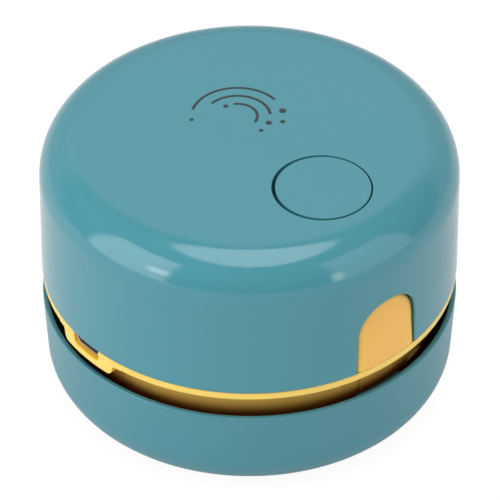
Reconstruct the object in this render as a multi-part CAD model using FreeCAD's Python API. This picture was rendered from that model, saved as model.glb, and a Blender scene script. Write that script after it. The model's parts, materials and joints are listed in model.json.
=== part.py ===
import FreeCAD, Part
import math
import os

V = FreeCAD.Vector

# A desktop vacuum cleaner, in millimetres. The origin is on the surface it stands on, under its
# middle. Z is up, the button and one release tab are towards +X, the charging port faces -Y.

# ---------------------------------------------------------------- overall sizes
body_radius = 42.0          # housing wall and rim of the base
foot_height = 1.4           # glide pads under the base
base_height = 20.3
exhaust_gap = 4.9           # open slot all round between base and flange
flange_height = 1.7         # coloured band under the housing
housing_height = 31.7
shoulder_radius = 8.9       # between wall and crown
crown_radius = 1400.0       # the top is almost flat

# ---------------------------------------------------------------- walls and gaps
housing_wall = 1.8
shell_wall = 1.5
base_wall = 1.1
floor_thickness = 1.8
slip_gap = 0.15             # parts that push together
travel_gap = 0.3            # parts that move past each other
shaft_gap = 0.05            # shaft in its bearings
edge_round = 0.3
joint_bevel = 0.15          # fine slopes that show where housing and flange meet
root = 0.5                  # how far a rib, post or ring runs into the wall it grows from
seam_angle = 67.0           # where turned faces close, clear of tabs, port and screws

# ---------------------------------------------------------------- base
base_draft = 0.73           # how much narrower the base is above its round
base_round = 7.9
cup_wall = 1.4              # inner wall, round the dust
cup_wall_height = 11.8
mouth_radius = 10.5         # suction mouth in the floor
riser_height = 7.3          # tapered tube above the floor
riser_taper = 2.0
brush_inner_radius = 13.0
brush_outer_radius = 17.2
brush_depth = 2.8
bristle_lift = 0.3
bristle_root = 0.5          # bristles start this far inside the groove
bristle_inset = 0.9
pad_radius = 3.6
pad_circle = 27.0
lug_width = 11.0            # catches on the wall of the base
lug_height = 1.5
lug_below_rim = 1.6
lug_slope = 1.0

# ---------------------------------------------------------------- filter and seal
filter_flange = 1.0
filter_depth = 4.0
filter_bar = 1.4
filter_spokes = 6
filter_mesh_thickness = 0.3
filter_knob_radius = 4.5
filter_knob_waist = 2.7
filter_knob_top = 3.6
seal_thickness = 1.0
seal_width = 1.6

# ---------------------------------------------------------------- inner shell
flange_inset = 0.1
cove_radius = 1.5
band_overhang = 3.3         # how far the flange stands out from the shell's wall
bowl_floor = 1.6
spigot_height = 2.5
spigot_wall = 2.0
plate_below_flange = 0.8    # motor plate under the bottom of the flange
vent_angle = 8.0
vent_pitch = 12.0
vent_arcs = ((12.0, 168.0), (192.0, 256.0))
vent_margin = 1.0
grille_radius = 14.0
grille_bar = 1.1
grille_rings = 2
screw_circle = 30.4
screw_boss_radius = 3.0
pocket_half_width = 5.4     # slot that a tab's leg moves in
pocket_wall = 1.4

# ---------------------------------------------------------------- release tabs
window_width = 15.4         # at the flange
window_height = 16.0
window_lean = 1.5           # degrees that the sides lean in
window_flat = 2.2           # top, between its round corners
tab_recess = 0.4            # at the flange
tab_top_recess = 1.5
tab_spring_level = 8.0      # above the flange
tab_lip = 1.7
tab_lip_thickness = 2.0
tab_border = 1.1
tab_travel = 2.0
leg_width = 9.0
leg_thickness = 1.5
leg_overlap = 3.0           # how far the leg runs up behind the tab's lip
hook_reach = 1.1
hook_height = 2.4

# ---------------------------------------------------------------- charging port
port_x = -1.5               # the port sits a little to one side
port_width = 7.9
port_wall = 1.4
port_top_width = 17.1
port_side_width = 15.3
port_bottom_width = 14.5
port_shoulder = 0.8
port_corner = 1.2
port_inner_corner = 0.8
socket_width = 7.5
socket_height = 2.5
socket_depth = 5.6
socket_setback = 0.8
socket_wall = 0.3
socket_slope = 0.9          # cut-off lower corners
socket_back = 0.5
tongue_width = 4.4
tongue_thickness = 0.6
tongue_setback = 0.8
tongue_heel = 1.2
board_width = 18.0
board_length = 14.6
board_thickness = 1.0
board_post_radius = 2.0
board_post_inset = 2.5
chip_height = 1.5
controller_size = 5.0
controller_shift = 1.0      # towards the back of the board
inductor_size = 3.0
inductor_x = 6.0
capacitor_radius = 2.2
small_part_shift = 1.5      # towards the front of the board

# ---------------------------------------------------------------- button and switch
button_margin = 1.3         # flat crown between the button's hole and the shoulder
button_radius = 9.6
button_gap = 0.4
button_wall = 1.3
button_travel = 1.2
button_depth = 6.3
button_flange = 1.2
button_post_radius = 2.4    # presses the switch
collar_wall = 1.4
collar_depth = 3.0
switch_size = 7.0
switch_height = 4.5
stem_width = 3.0
stem_height = 3.0
stem_socket_floor = 1.0
switch_board_thickness = 1.2
switch_board_depth = 13.8   # top of the switch board below the crown
switch_board_length = 14.8
switch_board_margin = 2.1   # beyond the screws
switch_board_corner = 2.0
switch_post_radius = 2.3
switch_post_gap = 0.5       # between a post and the button's collar

# ---------------------------------------------------------------- motor and fan
plate_thickness = 1.6
motor_radius = 12.2
motor_headroom = 0.4        # between the motor's cap and the button when it is pressed
motor_wall = 1.0
motor_cap_height = 2.0
motor_boss_radius = 3.1
motor_cup_height = 5.0
motor_cup_wall = 1.4
motor_screw_offset = 8.0
magnet_wall = 2.2
magnet_gap = 4.0            # between the two magnets
magnet_below = 4.0          # from the floor of the can
magnet_above = 5.0          # from its open end
cap_plug = 1.5              # how far the cap enters the can
cap_over_shaft = 0.8
terminal_x = 6.0
terminal_y = 5.3
terminal_width = 2.0
terminal_thickness = 0.6
terminal_height = 2.2
shaft_radius = 1.0
armature_radius = 8.2
armature_low = 6.0          # above the motor plate
armature_headroom = 1.0     # between the commutator and the motor's cap
armature_core = 2.0
pole_width = 2.8
pole_shoe = 1.6
pole_gap = 2.0
commutator_wall = 1.6
commutator_height = 4.0
impeller_radius = 26.0
impeller_disc = 0.8
impeller_hub_radius = 4.0
impeller_tip_radius = 2.4   # blunt end of the hub
impeller_nose = 1.5
impeller_dish_radius = 7.0  # where the hub's slope meets the disc
impeller_eye_radius = 10.0
blade_count = 9
blade_thickness = 1.0
blade_sweep = 38.0          # degrees that a blade falls back from eye to rim
fan_clearance = 0.8

# ---------------------------------------------------------------- battery and springs
battery_thickness = 8.0
battery_width = 30.0
battery_height = 20.0
battery_corner = 1.5
battery_pad = 1.0
pad_margin = 0.5
fence_wall = 1.2
fence_height = 8.0
fence_corner_x = 3.0        # what stands of the fence at each corner
fence_corner_y = 5.0
spring_seat_thickness = 1.6
spring_seat_width = 8.0
tab_spring_radius = 2.6
tab_spring_length = 6.7
tab_spring_wire = 0.5
spring_pin = 1.2            # pins that the ends of the tab springs sit on
button_spring_gap = 1.35    # between the spring and the switch's corners
button_spring_wire = 0.6
spring_turns = 3

# ---------------------------------------------------------------- screws
screw_radius = 1.15
screw_head_radius = 2.2
screw_head_height = 1.4
screw_length = 15.0
pilot_depth = 5.0
small_screw_radius = 0.9
small_head_radius = 1.7
small_head_height = 1.0
cover_grip = 4.0            # small screw in a post or a tapped wall

# ---------------------------------------------------------------- levels that follow
base_bottom_z = foot_height
floor_top_z = base_bottom_z + floor_thickness
base_rim_z = base_bottom_z + base_height
flange_bottom_z = base_rim_z + exhaust_gap
flange_top_z = flange_bottom_z + flange_height
top_z = flange_top_z + housing_height
cup_top_z = floor_top_z + cup_wall_height
filter_top_z = cup_top_z + filter_flange
bowl_bottom_z = filter_top_z + seal_thickness
chamber_floor_z = bowl_bottom_z + bowl_floor
plate_bottom_z = flange_bottom_z - plate_below_flange
plate_top_z = plate_bottom_z + plate_thickness
impeller_bottom_z = chamber_floor_z + fan_clearance
impeller_top_z = plate_bottom_z - small_head_height - fan_clearance
motor_cap_top_z = top_z - button_depth - button_travel - motor_headroom
motor_top_z = motor_cap_top_z - motor_cap_height
motor_height = motor_top_z - plate_top_z
armature_height = motor_height - armature_low - commutator_height - armature_headroom - cap_plug
socket_top_z = flange_top_z
socket_bottom_z = socket_top_z - socket_height
board_bottom_z = socket_top_z
board_top_z = board_bottom_z + board_thickness
port_floor_z = socket_bottom_z - travel_gap
port_bottom_z = port_floor_z - port_wall
crown_under_z = top_z - housing_wall
shoulder_r = body_radius - shoulder_radius
shoulder_z = top_z - crown_radius + math.sqrt((crown_radius - shoulder_radius) ** 2 - shoulder_r ** 2)
lug_top_z = base_rim_z - lug_below_rim
lug_bottom_z = lug_top_z - lug_height
hook_top_z = lug_bottom_z - travel_gap
leg_bottom_z = hook_top_z - hook_height
window_top_z = flange_top_z + window_height
tab_spring_z = flange_top_z + tab_spring_level
tab_bottom_z = flange_top_z + slip_gap
switch_board_top_z = top_z - switch_board_depth
stem_top_z = switch_board_top_z + switch_height + stem_height - button_travel
screw_tip_z = bowl_bottom_z + slip_gap + screw_head_height + screw_length

# ---------------------------------------------------------------- radii that follow
flange_radius = body_radius - flange_inset
shell_radius = flange_radius - band_overhang
housing_inner_radius = body_radius - housing_wall
spigot_radius = housing_inner_radius - slip_gap
plate_seat_radius = spigot_radius - spigot_wall
plate_radius = plate_seat_radius - slip_gap
chamber_radius = shell_radius - shell_wall
tab_lip_radius = housing_inner_radius - travel_gap
tab_back_radius = tab_lip_radius - tab_lip_thickness
leg_outer_x = shell_radius + travel_gap / 2
leg_inner_x = leg_outer_x - leg_thickness
hook_x = leg_outer_x + hook_reach
lug_radius = leg_outer_x + travel_gap
pocket_x = leg_inner_x - tab_travel - travel_gap
cup_wall_radius = pocket_x - travel_gap
pin_radius = tab_spring_radius - tab_spring_wire
spring_seat_x = tab_back_radius - tab_spring_length
riser_top_radius = mouth_radius - riser_taper
button_hole_radius = button_radius + button_gap
button_x = shoulder_r - button_margin - button_hole_radius
button_spring_radius = switch_size / math.sqrt(2) + button_spring_gap + button_spring_wire / 2
switch_post_y = button_hole_radius + collar_wall + switch_post_gap + switch_post_radius
switch_board_width = 2 * (switch_post_y + switch_board_margin)


# ---------------------------------------------------------------- shapes used by many parts
def straight(*corners):
    """Straight edges through (radius, height) corners, in the XZ plane."""
    pairs = zip(corners[:-1], corners[1:])
    return [Part.LineSegment(V(a[0], 0, a[1]), V(b[0], 0, b[1])).toShape() for a, b in pairs]


def bend(start, middle, end):
    """Arc through three (radius, height) points, in the XZ plane."""
    return Part.Arc(*[V(r, 0, z) for r, z in (start, middle, end)]).toShape()


def turned(edges):
    """Solid made by turning a closed outline about the Z axis."""
    face = Part.Face(Part.Wire(Part.__sortEdges__(edges)))
    return about_z(face.revolve(V(0, 0, 0), V(0, 0, 1), 360), seam_angle)


def disc(radius, z_low, z_high, x=0.0, y=0.0):
    return Part.makeCylinder(radius, z_high - z_low, V(x, y, z_low))


def ring(inner, outer, z_low, z_high, x=0.0, y=0.0):
    return disc(outer, z_low, z_high, x, y).cut(disc(inner, z_low - 1, z_high + 1, x, y))


def block(x_low, x_high, y_low, y_high, z_low, z_high):
    return Part.makeBox(x_high - x_low, y_high - y_low, z_high - z_low, V(x_low, y_low, z_low))


def rod_along_x(radius, x_low, x_high, y, z):
    return Part.makeCylinder(radius, x_high - x_low, V(x_low, y, z), V(1, 0, 0))


def about_z(shape, angle):
    copy = shape.copy()
    copy.rotate(V(0, 0, 0), V(0, 0, 1), angle)
    return copy


def arch(half_width, z_low, z_centre, x_low, x_high):
    """Doorway form: flat sill, upright sides and a round top, running along X."""
    sill_left = V(x_low, -half_width, z_low)
    sill_right = V(x_low, half_width, z_low)
    side_left = V(x_low, -half_width, z_centre)
    side_right = V(x_low, half_width, z_centre)
    crown = V(x_low, 0, z_centre + half_width)
    outline = [
        Part.LineSegment(sill_left, sill_right).toShape(),
        Part.LineSegment(sill_right, side_right).toShape(),
        Part.Arc(side_right, crown, side_left).toShape(),
        Part.LineSegment(side_left, sill_left).toShape(),
    ]
    return Part.Face(Part.Wire(outline)).extrude(V(x_high - x_low, 0, 0))


def on_circle(radius, angle):
    turn = math.radians(angle)
    return radius * math.cos(turn), radius * math.sin(turn)


def screw_places():
    return [on_circle(screw_circle, angle) for angle in (45, 135, 225, 315)]


def coil(radius, wire, length, turns):
    """Helical spring standing on Z = 0, its wire four-sided."""
    rise = length - wire
    helix = Part.makeHelix(rise / turns, rise, radius)
    half = wire / 2
    section = Part.makePolygon([V(radius, 0, -half), V(radius + half, 0, 0), V(radius, 0, half),
                                V(radius - half, 0, 0), V(radius, 0, -half)])
    spring = Part.Wire(helix.Edges).makePipeShell([section], True, True)
    spring.translate(V(0, 0, wire / 2))
    return spring


def soften(shape, radius, wanted):
    """Round the edges for which wanted(edge) is true."""
    return shape.makeFillet(radius, [edge for edge in shape.Edges if wanted(edge)])


def is_upright(edge):
    box = edge.BoundBox
    return box.ZLength > root and box.XLength + box.YLength < 0.01


def bevel(shape, size, wanted):
    """Cut a small slope on the edges for which wanted(edge) is true."""
    return shape.makeChamfer(size, [edge for edge in shape.Edges if wanted(edge)])


# ---------------------------------------------------------------- upper housing
def shoulder_arc(radius):
    """Quarter arc about the shoulder's centre, from the wall up to the top."""
    tilt = math.asin(shoulder_r / (crown_radius - shoulder_radius))
    places = []
    for turn in (0, (math.pi / 2 - tilt) / 2, math.pi / 2 - tilt):
        places.append((shoulder_r + radius * math.cos(turn), shoulder_z + radius * math.sin(turn)))
    return bend(*places), places[2]


def dome():
    """The housing's outer form: upright wall, round shoulder, shallow crown."""
    shoulder, edge = shoulder_arc(shoulder_radius)
    middle_r = edge[0] / 2
    middle_z = top_z - crown_radius + math.sqrt(crown_radius ** 2 - middle_r ** 2)
    outline = straight((0, top_z), (0, flange_top_z), (body_radius - joint_bevel, flange_top_z),
                       (body_radius, flange_top_z + joint_bevel), (body_radius, shoulder_z))
    return turned(outline + [shoulder, bend(edge, (middle_r, middle_z), (0, top_z))])


def dome_room():
    """The space inside the housing, flat under the crown."""
    corner = shoulder_radius - housing_wall
    ceiling_z = shoulder_z + corner
    room = about_z(disc(housing_inner_radius, flange_top_z - 1, ceiling_z), seam_angle)

    def ceiling_rim(edge):
        return edge.BoundBox.ZMin > ceiling_z - edge_round and edge.BoundBox.XLength > body_radius

    return soften(room, corner, ceiling_rim)


def window_form(growth, z_low, x_low, x_high):
    """Outline of a tab window, grown all round, with leaning sides and round top corners, along X."""
    z_high = window_top_z + growth
    lean = math.tan(math.radians(window_lean))
    low_y = window_width / 2 + growth - (z_low - flange_top_z) * lean
    high_y = window_width / 2 + growth - (z_high - flange_top_z) * lean
    corners = [V(x_low, -low_y, z_low), V(x_low, low_y, z_low), V(x_low, high_y, z_high),
               V(x_low, -high_y, z_high), V(x_low, -low_y, z_low)]
    form = Part.Face(Part.makePolygon(corners)).extrude(V(x_high - x_low, 0, 0))

    def top_corner(edge):
        return edge.BoundBox.ZMin > z_high - root and edge.BoundBox.YLength < root

    return soften(form, high_y - window_flat / 2, top_corner)


def tab_windows(x_low, x_high):
    window = window_form(0, flange_top_z - 1, x_low, x_high)
    return window.fuse(about_z(window, 180))


def is_hole_top(edge):
    box = edge.BoundBox
    across = 2 * button_hole_radius
    return abs(box.XLength - across) < slip_gap and abs(box.YLength - across) < slip_gap \
        and box.ZMin > crown_under_z + housing_wall / 2


def is_window_edge(edge):
    """Sides, corners and top of a tab window, where they meet the outer wall."""
    on_wall = all(abs(math.hypot(v.X, v.Y) - body_radius) < 0.01 for v in edge.Vertexes)
    box = edge.BoundBox
    return on_wall and box.YLength < body_radius / 2 and flange_top_z + 1 < box.ZMax < shoulder_z


def make_upper_housing():
    shell = dome().cut(dome_room())
    collar_bottom_z = crown_under_z - collar_depth
    into_crown_z = crown_under_z + root
    shell = shell.fuse(disc(button_hole_radius + collar_wall, collar_bottom_z, into_crown_z, button_x))
    for x, y in screw_places():
        shell = shell.fuse(disc(screw_boss_radius, plate_top_z, into_crown_z, x, y))
        shell = shell.cut(disc(screw_radius, plate_top_z - 1, screw_tip_z + travel_gap, x, y))
    for y in (-switch_post_y, switch_post_y):
        shell = shell.fuse(disc(switch_post_radius, switch_board_top_z, into_crown_z, button_x, y))
        shell = shell.cut(disc(small_screw_radius, switch_board_top_z - 1, switch_board_top_z + pilot_depth,
                               button_x, y))
    shell = shell.cut(disc(button_hole_radius, collar_bottom_z - 1, top_z + 1, button_x))
    shell = shell.cut(tab_windows(tab_back_radius, body_radius + 1))
    shell = soften(shell, edge_round, is_window_edge)
    return bevel(shell, edge_round, is_hole_top)


# ---------------------------------------------------------------- power button and its switch
def make_power_button():
    bottom_z = top_z - button_depth
    blank = disc(button_radius, bottom_z, top_z + 1, button_x).common(dome())
    hollow = disc(button_radius - button_wall, bottom_z - 1, crown_under_z, button_x)
    post = disc(button_post_radius, stem_top_z, crown_under_z, button_x)
    flange = ring(button_radius - button_wall, button_hole_radius + collar_wall - travel_gap,
                  bottom_z, bottom_z + button_flange, button_x)
    button = blank.cut(hollow).fuse([post, flange])
    return bevel(button, edge_round, lambda edge: edge.BoundBox.ZMin > crown_under_z + housing_wall / 2
                 and edge.BoundBox.XLength > button_radius)


def make_button_spring():
    length = crown_under_z - switch_board_top_z
    spring = coil(button_spring_radius, button_spring_wire, length, spring_turns)
    spring.translate(V(button_x, 0, switch_board_top_z))
    return spring


def make_switch_board():
    half = switch_board_length / 2
    board = block(button_x - half, button_x + half, -switch_board_width / 2, switch_board_width / 2,
                  switch_board_top_z - switch_board_thickness, switch_board_top_z)
    board = soften(board, switch_board_corner, is_upright)
    for y in (-switch_post_y, switch_post_y):
        board = board.cut(disc(small_screw_radius + slip_gap, 0, top_z, button_x, y))
    return board


def make_switch_body():
    half = switch_size / 2
    body = block(button_x - half, button_x + half, -half, half,
                 switch_board_top_z, switch_board_top_z + switch_height)
    stem = stem_width / 2 + shaft_gap
    return body.cut(block(button_x - stem, button_x + stem, -stem, stem,
                          switch_board_top_z + stem_socket_floor, top_z))


def make_switch_plunger():
    stem = stem_width / 2
    return block(button_x - stem, button_x + stem, -stem, stem,
                 switch_board_top_z + stem_socket_floor + button_travel + travel_gap, stem_top_z)


# ---------------------------------------------------------------- inner shell
def shell_outside():
    """Spigot, flange, cove and wall of the inner shell, as one turned solid."""
    spigot_top_z = flange_top_z + spigot_height
    cove_middle = cove_radius * (1 - math.sqrt(0.5))
    cove_start = (shell_radius + cove_radius, flange_bottom_z)
    cove_end = (shell_radius, flange_bottom_z - cove_radius)
    cove_point = (shell_radius + cove_middle, flange_bottom_z - cove_middle)
    outline = straight(
        cove_end, (shell_radius, bowl_bottom_z), (0, bowl_bottom_z), (0, spigot_top_z),
        (spigot_radius, spigot_top_z), (spigot_radius, flange_top_z),
        (flange_radius - joint_bevel, flange_top_z), (flange_radius, flange_top_z - joint_bevel),
        (flange_radius, flange_bottom_z + joint_bevel), (flange_radius - joint_bevel, flange_bottom_z),
        cove_start)
    return turned(outline + [bend(cove_start, cove_point, cove_end)])


def shell_inside():
    """Fan chamber, the step that carries the motor plate, and the open top."""
    above = flange_top_z + spigot_height + 1
    return turned(straight(
        (0, chamber_floor_z), (chamber_radius, chamber_floor_z), (chamber_radius, plate_bottom_z),
        (plate_seat_radius, plate_bottom_z), (plate_seat_radius, above), (0, above),
        (0, chamber_floor_z)))


def leg_pocket(growth):
    """Slot for a tab's leg on the +X side, its sides and back moved out by growth."""
    half = pocket_half_width + growth
    below = block(pocket_x - growth, body_radius + 5, -half, half, bowl_bottom_z - 1, flange_bottom_z)
    through = block(pocket_x - growth, spigot_radius + slip_gap, -half, half,
                    flange_bottom_z - 1, flange_top_z + spigot_height + 5)
    return below.fuse(through)


def is_lower_port_edge(edge):
    """Edges along Y at the bottom of the port's boss or of its recess."""
    return edge.BoundBox.YLength > 1 and edge.BoundBox.ZMax < port_floor_z + 0.01


def port_boss():
    """Block round the charging socket, flush with the flange, its lower corners rounded."""
    top = port_top_width / 2
    side = port_side_width / 2
    low = port_bottom_width / 2
    y = -(pocket_x - pocket_wall)
    side_z = flange_bottom_z - port_shoulder
    corners = [V(-top, y, flange_bottom_z), V(-side, y, side_z), V(-low, y, port_bottom_z),
               V(low, y, port_bottom_z), V(side, y, side_z), V(top, y, flange_bottom_z),
               V(top, y, flange_top_z), V(-top, y, flange_top_z), V(-top, y, flange_bottom_z)]
    bar = Part.Face(Part.makePolygon(corners)).extrude(V(0, -body_radius, 0))
    bar = soften(bar, port_corner, is_lower_port_edge)
    bar.translate(V(port_x, 0, 0))
    return bar.common(disc(flange_radius, port_bottom_z - 1, flange_top_z))


def port_recess():
    half = port_width / 2
    recess = block(port_x - half, port_x + half, -body_radius - 5, -(pocket_x - pocket_wall) + 1,
                   port_floor_z, flange_top_z + spigot_height + 1)
    return soften(recess, port_inner_corner, is_lower_port_edge)


def vent_slots():
    """Radial exhaust slots through the wall of the fan chamber."""
    half = shell_radius * math.tan(math.radians(vent_angle / 2))
    slot = block(chamber_radius - 2, body_radius, -half, half,
                 chamber_floor_z + vent_margin, plate_bottom_z - vent_margin)
    angles = []
    for start, stop in vent_arcs:
        count = int((stop - start - vent_angle) / vent_pitch) + 1
        first = (start + stop - (count - 1) * vent_pitch) / 2
        angles += [first + n * vent_pitch for n in range(count)]
    return [about_z(slot, angle) for angle in angles]


def intake_grille():
    """Rings and spokes across the eye of the fan."""
    step = grille_radius / grille_rings
    bars = [disc(grille_bar * 2, bowl_bottom_z, chamber_floor_z)]
    for n in range(1, grille_rings):
        middle = n * step
        bars.append(ring(middle - grille_bar / 2, middle + grille_bar / 2, bowl_bottom_z, chamber_floor_z))
    for n in range(3):
        spoke = block(-grille_radius - root, grille_radius + root, -grille_bar / 2, grille_bar / 2,
                      bowl_bottom_z, chamber_floor_z)
        bars.append(about_z(spoke, 60 * n))
    return bars


def make_inner_shell():
    pockets = [leg_pocket(0), about_z(leg_pocket(0), 180)]
    grown = [leg_pocket(pocket_wall), about_z(leg_pocket(pocket_wall), 180)]
    solid = shell_outside().cut(pockets).fuse(port_boss())
    inside = shell_inside().cut(grown)
    inside = inside.cut(port_boss())
    shell = solid.cut(inside).cut(port_recess())
    spigot_gap = window_width / 2 + tab_lip + travel_gap
    above_flange = block(-body_radius, body_radius, -spigot_gap, spigot_gap,
                         flange_top_z, flange_top_z + spigot_height + 1)
    shell = shell.cut(above_flange)
    board_gap = board_width / 2 + travel_gap
    shell = shell.cut(block(port_x - board_gap, port_x + board_gap, -body_radius, 0, board_bottom_z, top_z))
    shell = shell.cut(vent_slots())
    shell = shell.cut(disc(grille_radius, bowl_bottom_z - 1, chamber_floor_z + 1)).fuse(intake_grille())
    head_seat_z = bowl_bottom_z + screw_head_height + slip_gap
    for x, y in screw_places():
        shell = shell.fuse(disc(screw_boss_radius, bowl_bottom_z, plate_bottom_z, x, y))
        shell = shell.cut(disc(screw_radius + slip_gap, 0, top_z, x, y))
        shell = shell.cut(disc(screw_head_radius + travel_gap, 0, head_seat_z, x, y))
    return shell.removeSplitter()


# ---------------------------------------------------------------- release tabs
def tab_face_radius(z):
    """The tab's face leans in, from nearly flush at the flange."""
    climb = (z - flange_top_z) / window_height
    return body_radius - tab_recess - climb * (tab_top_recess - tab_recess)


def make_release_tab(angle):
    face = window_form(-travel_gap, tab_bottom_z, pocket_x, body_radius)
    above_z = window_top_z + 1
    face = face.common(turned(straight(
        (tab_back_radius, tab_bottom_z), (tab_face_radius(tab_bottom_z), tab_bottom_z),
        (tab_face_radius(above_z), above_z), (tab_back_radius, above_z), (tab_back_radius, tab_bottom_z))))

    def border(edge):
        on_face = all(abs(math.hypot(v.X, v.Y) - tab_face_radius(v.Z)) < root for v in edge.Vertexes)
        return on_face and edge.BoundBox.ZMax > tab_bottom_z + 1

    face = soften(face, tab_border, border)
    lip = window_form(tab_lip - travel_gap, tab_bottom_z, pocket_x, body_radius)
    lip = lip.common(ring(tab_back_radius, tab_lip_radius, 0, top_z))
    leg_half = leg_width / 2
    leg = block(leg_inner_x, leg_outer_x, -leg_half, leg_half, leg_bottom_z, tab_bottom_z + leg_overlap)
    hook_corners = [V(leg_inner_x, -leg_half, leg_bottom_z),
                    V(leg_outer_x, -leg_half, leg_bottom_z),
                    V(hook_x, -leg_half, hook_top_z - hook_height / 2),
                    V(hook_x, -leg_half, hook_top_z),
                    V(leg_inner_x, -leg_half, hook_top_z),
                    V(leg_inner_x, -leg_half, leg_bottom_z)]
    hook = Part.Face(Part.makePolygon(hook_corners)).extrude(V(0, leg_width, 0))
    pin = rod_along_x(pin_radius, tab_back_radius - spring_pin, tab_back_radius + root, 0, tab_spring_z)
    tab = face.fuse([lip, leg, hook, pin]).removeSplitter()
    return about_z(tab, angle)


def make_tab_spring(angle):
    spring = coil(tab_spring_radius, tab_spring_wire, tab_spring_length, spring_turns)
    spring.rotate(V(0, 0, 0), V(0, 1, 0), 90)
    spring.translate(V(spring_seat_x, 0, tab_spring_z))
    return about_z(spring, angle)


# ---------------------------------------------------------------- motor plate
def plate_notches():
    tab_notch = block(pocket_x - pocket_wall - slip_gap, body_radius,
                      -pocket_half_width - pocket_wall - slip_gap,
                      pocket_half_width + pocket_wall + slip_gap, 0, top_z)
    port_half = port_top_width / 2 + slip_gap
    port_notch = block(port_x - port_half, port_x + port_half, -body_radius,
                       -(pocket_x - pocket_wall) + slip_gap, 0, top_z)
    return [tab_notch, about_z(tab_notch, 180), port_notch]


def spring_seat(angle):
    """Upright plate with a pin, behind a tab's spring."""
    half = spring_seat_width / 2
    back_x = spring_seat_x - spring_seat_thickness
    seat = arch(half, plate_bottom_z + root, tab_spring_z, back_x, spring_seat_x)
    pin = rod_along_x(pin_radius, spring_seat_x - root, spring_seat_x + spring_pin, 0, tab_spring_z)
    return about_z(seat.fuse(pin), angle)


def battery_x():
    gap_side = spring_seat_x - spring_seat_thickness - travel_gap
    return -(gap_side - fence_wall - slip_gap - battery_thickness / 2)


def battery_fence():
    """Four corner posts that hold the cell."""
    middle = battery_x()
    outer_x = battery_thickness / 2 + slip_gap + fence_wall
    outer_y = battery_width / 2 + slip_gap + fence_wall
    fence_top_z = plate_top_z + fence_height
    frame = block(middle - outer_x, middle + outer_x, -outer_y, outer_y, plate_bottom_z + root, fence_top_z)
    room = block(middle - outer_x + fence_wall, middle + outer_x - fence_wall,
                 -outer_y + fence_wall, outer_y - fence_wall, plate_top_z, top_z)
    open_x = outer_x - fence_corner_x
    open_y = outer_y - fence_corner_y
    openings = [block(-body_radius, body_radius, -open_y, open_y, plate_top_z, top_z),
                block(middle - open_x, middle + open_x, -body_radius, body_radius, plate_top_z, top_z)]
    return frame.cut(room).cut(openings)


def board_front_y():
    return -(plate_seat_radius - travel_gap)


def board_back_y():
    return board_front_y() + board_length


def board_posts():
    x = board_width / 2 - board_post_inset
    y = board_back_y() - board_post_inset
    return [(port_x - x, y), (port_x + x, y)]


def make_motor_plate():
    plate = disc(plate_radius, plate_bottom_z, plate_top_z).cut(plate_notches())
    cup_inner = motor_radius + slip_gap
    cup = ring(cup_inner, cup_inner + motor_cup_wall, plate_bottom_z + root, plate_top_z + motor_cup_height)
    plate = plate.fuse([cup, battery_fence(), spring_seat(0), spring_seat(180)])
    for x, y in board_posts():
        plate = plate.fuse(disc(board_post_radius, plate_bottom_z + root, board_bottom_z, x, y))
        plate = plate.cut(disc(small_screw_radius, plate_bottom_z + root, board_bottom_z + 1, x, y))
    plate = plate.cut(disc(motor_boss_radius + slip_gap, 0, top_z))
    for side in (-1, 1):
        plate = plate.cut(disc(small_screw_radius + slip_gap, 0, top_z, 0, side * motor_screw_offset))
    for x, y in screw_places():
        plate = plate.cut(disc(screw_radius + slip_gap, 0, top_z, x, y))
    return plate.removeSplitter()


# ---------------------------------------------------------------- motor and fan
def make_motor_can():
    """Deep-drawn can with a bearing boss below and an open top."""
    inner = motor_radius - motor_wall
    boss_z = plate_bottom_z + slip_gap
    can = turned(straight(
        (shaft_radius + shaft_gap, boss_z), (motor_boss_radius, boss_z), (motor_boss_radius, plate_top_z),
        (motor_radius, plate_top_z), (motor_radius, motor_top_z), (inner, motor_top_z),
        (inner, plate_top_z + motor_wall), (shaft_radius + shaft_gap, plate_top_z + motor_wall),
        (shaft_radius + shaft_gap, boss_z)))
    for side in (-1, 1):
        can = can.cut(disc(small_screw_radius, 0, motor_top_z, 0, side * motor_screw_offset))
    return can


def make_motor_magnets():
    outer = motor_radius - motor_wall - shaft_gap
    tube = ring(outer - magnet_wall, outer, plate_top_z + magnet_below, motor_top_z - magnet_above)
    gap = block(-outer, outer, -magnet_gap / 2, magnet_gap / 2, 0, top_z)
    return tube.cut(gap)


def make_motor_cap():
    inner = motor_radius - motor_wall - shaft_gap
    cap = disc(motor_radius, motor_top_z, motor_cap_top_z)
    cap = cap.fuse(disc(inner, motor_top_z - cap_plug, motor_top_z + root))
    return cap.cut(disc(shaft_radius + shaft_gap, 0, motor_cap_top_z - cap_over_shaft))


def make_motor_terminals():
    low = motor_cap_top_z
    half = terminal_width / 2
    blades = []
    for x in (-terminal_x, terminal_x):
        blades.append(block(x - half, x + half, terminal_y - terminal_thickness / 2,
                            terminal_y + terminal_thickness / 2, low, low + terminal_height))
    return Part.makeCompound(blades)


def make_motor_shaft():
    return disc(shaft_radius, impeller_bottom_z, motor_cap_top_z - cap_over_shaft - slip_gap)


def make_armature():
    """Three wound poles on the shaft, with the commutator above them."""
    low = plate_top_z + armature_low
    high = low + armature_height
    core = disc(shaft_radius + armature_core, low, high)
    shoes = ring(armature_radius - pole_shoe, armature_radius, low, high)
    poles = []
    for n in range(3):
        gap = block(0, armature_radius + 1, -pole_gap / 2, pole_gap / 2, low - 1, high + 1)
        shoes = shoes.cut(about_z(gap, 60 + 120 * n))
        pole = block(0, armature_radius - root, -pole_width / 2, pole_width / 2, low, high)
        poles.append(about_z(pole, 120 * n))
    commutator = disc(shaft_radius + commutator_wall, high, high + commutator_height)
    return core.fuse(poles + [shoes, commutator]).cut(disc(shaft_radius, 0, top_z)).removeSplitter()


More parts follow.
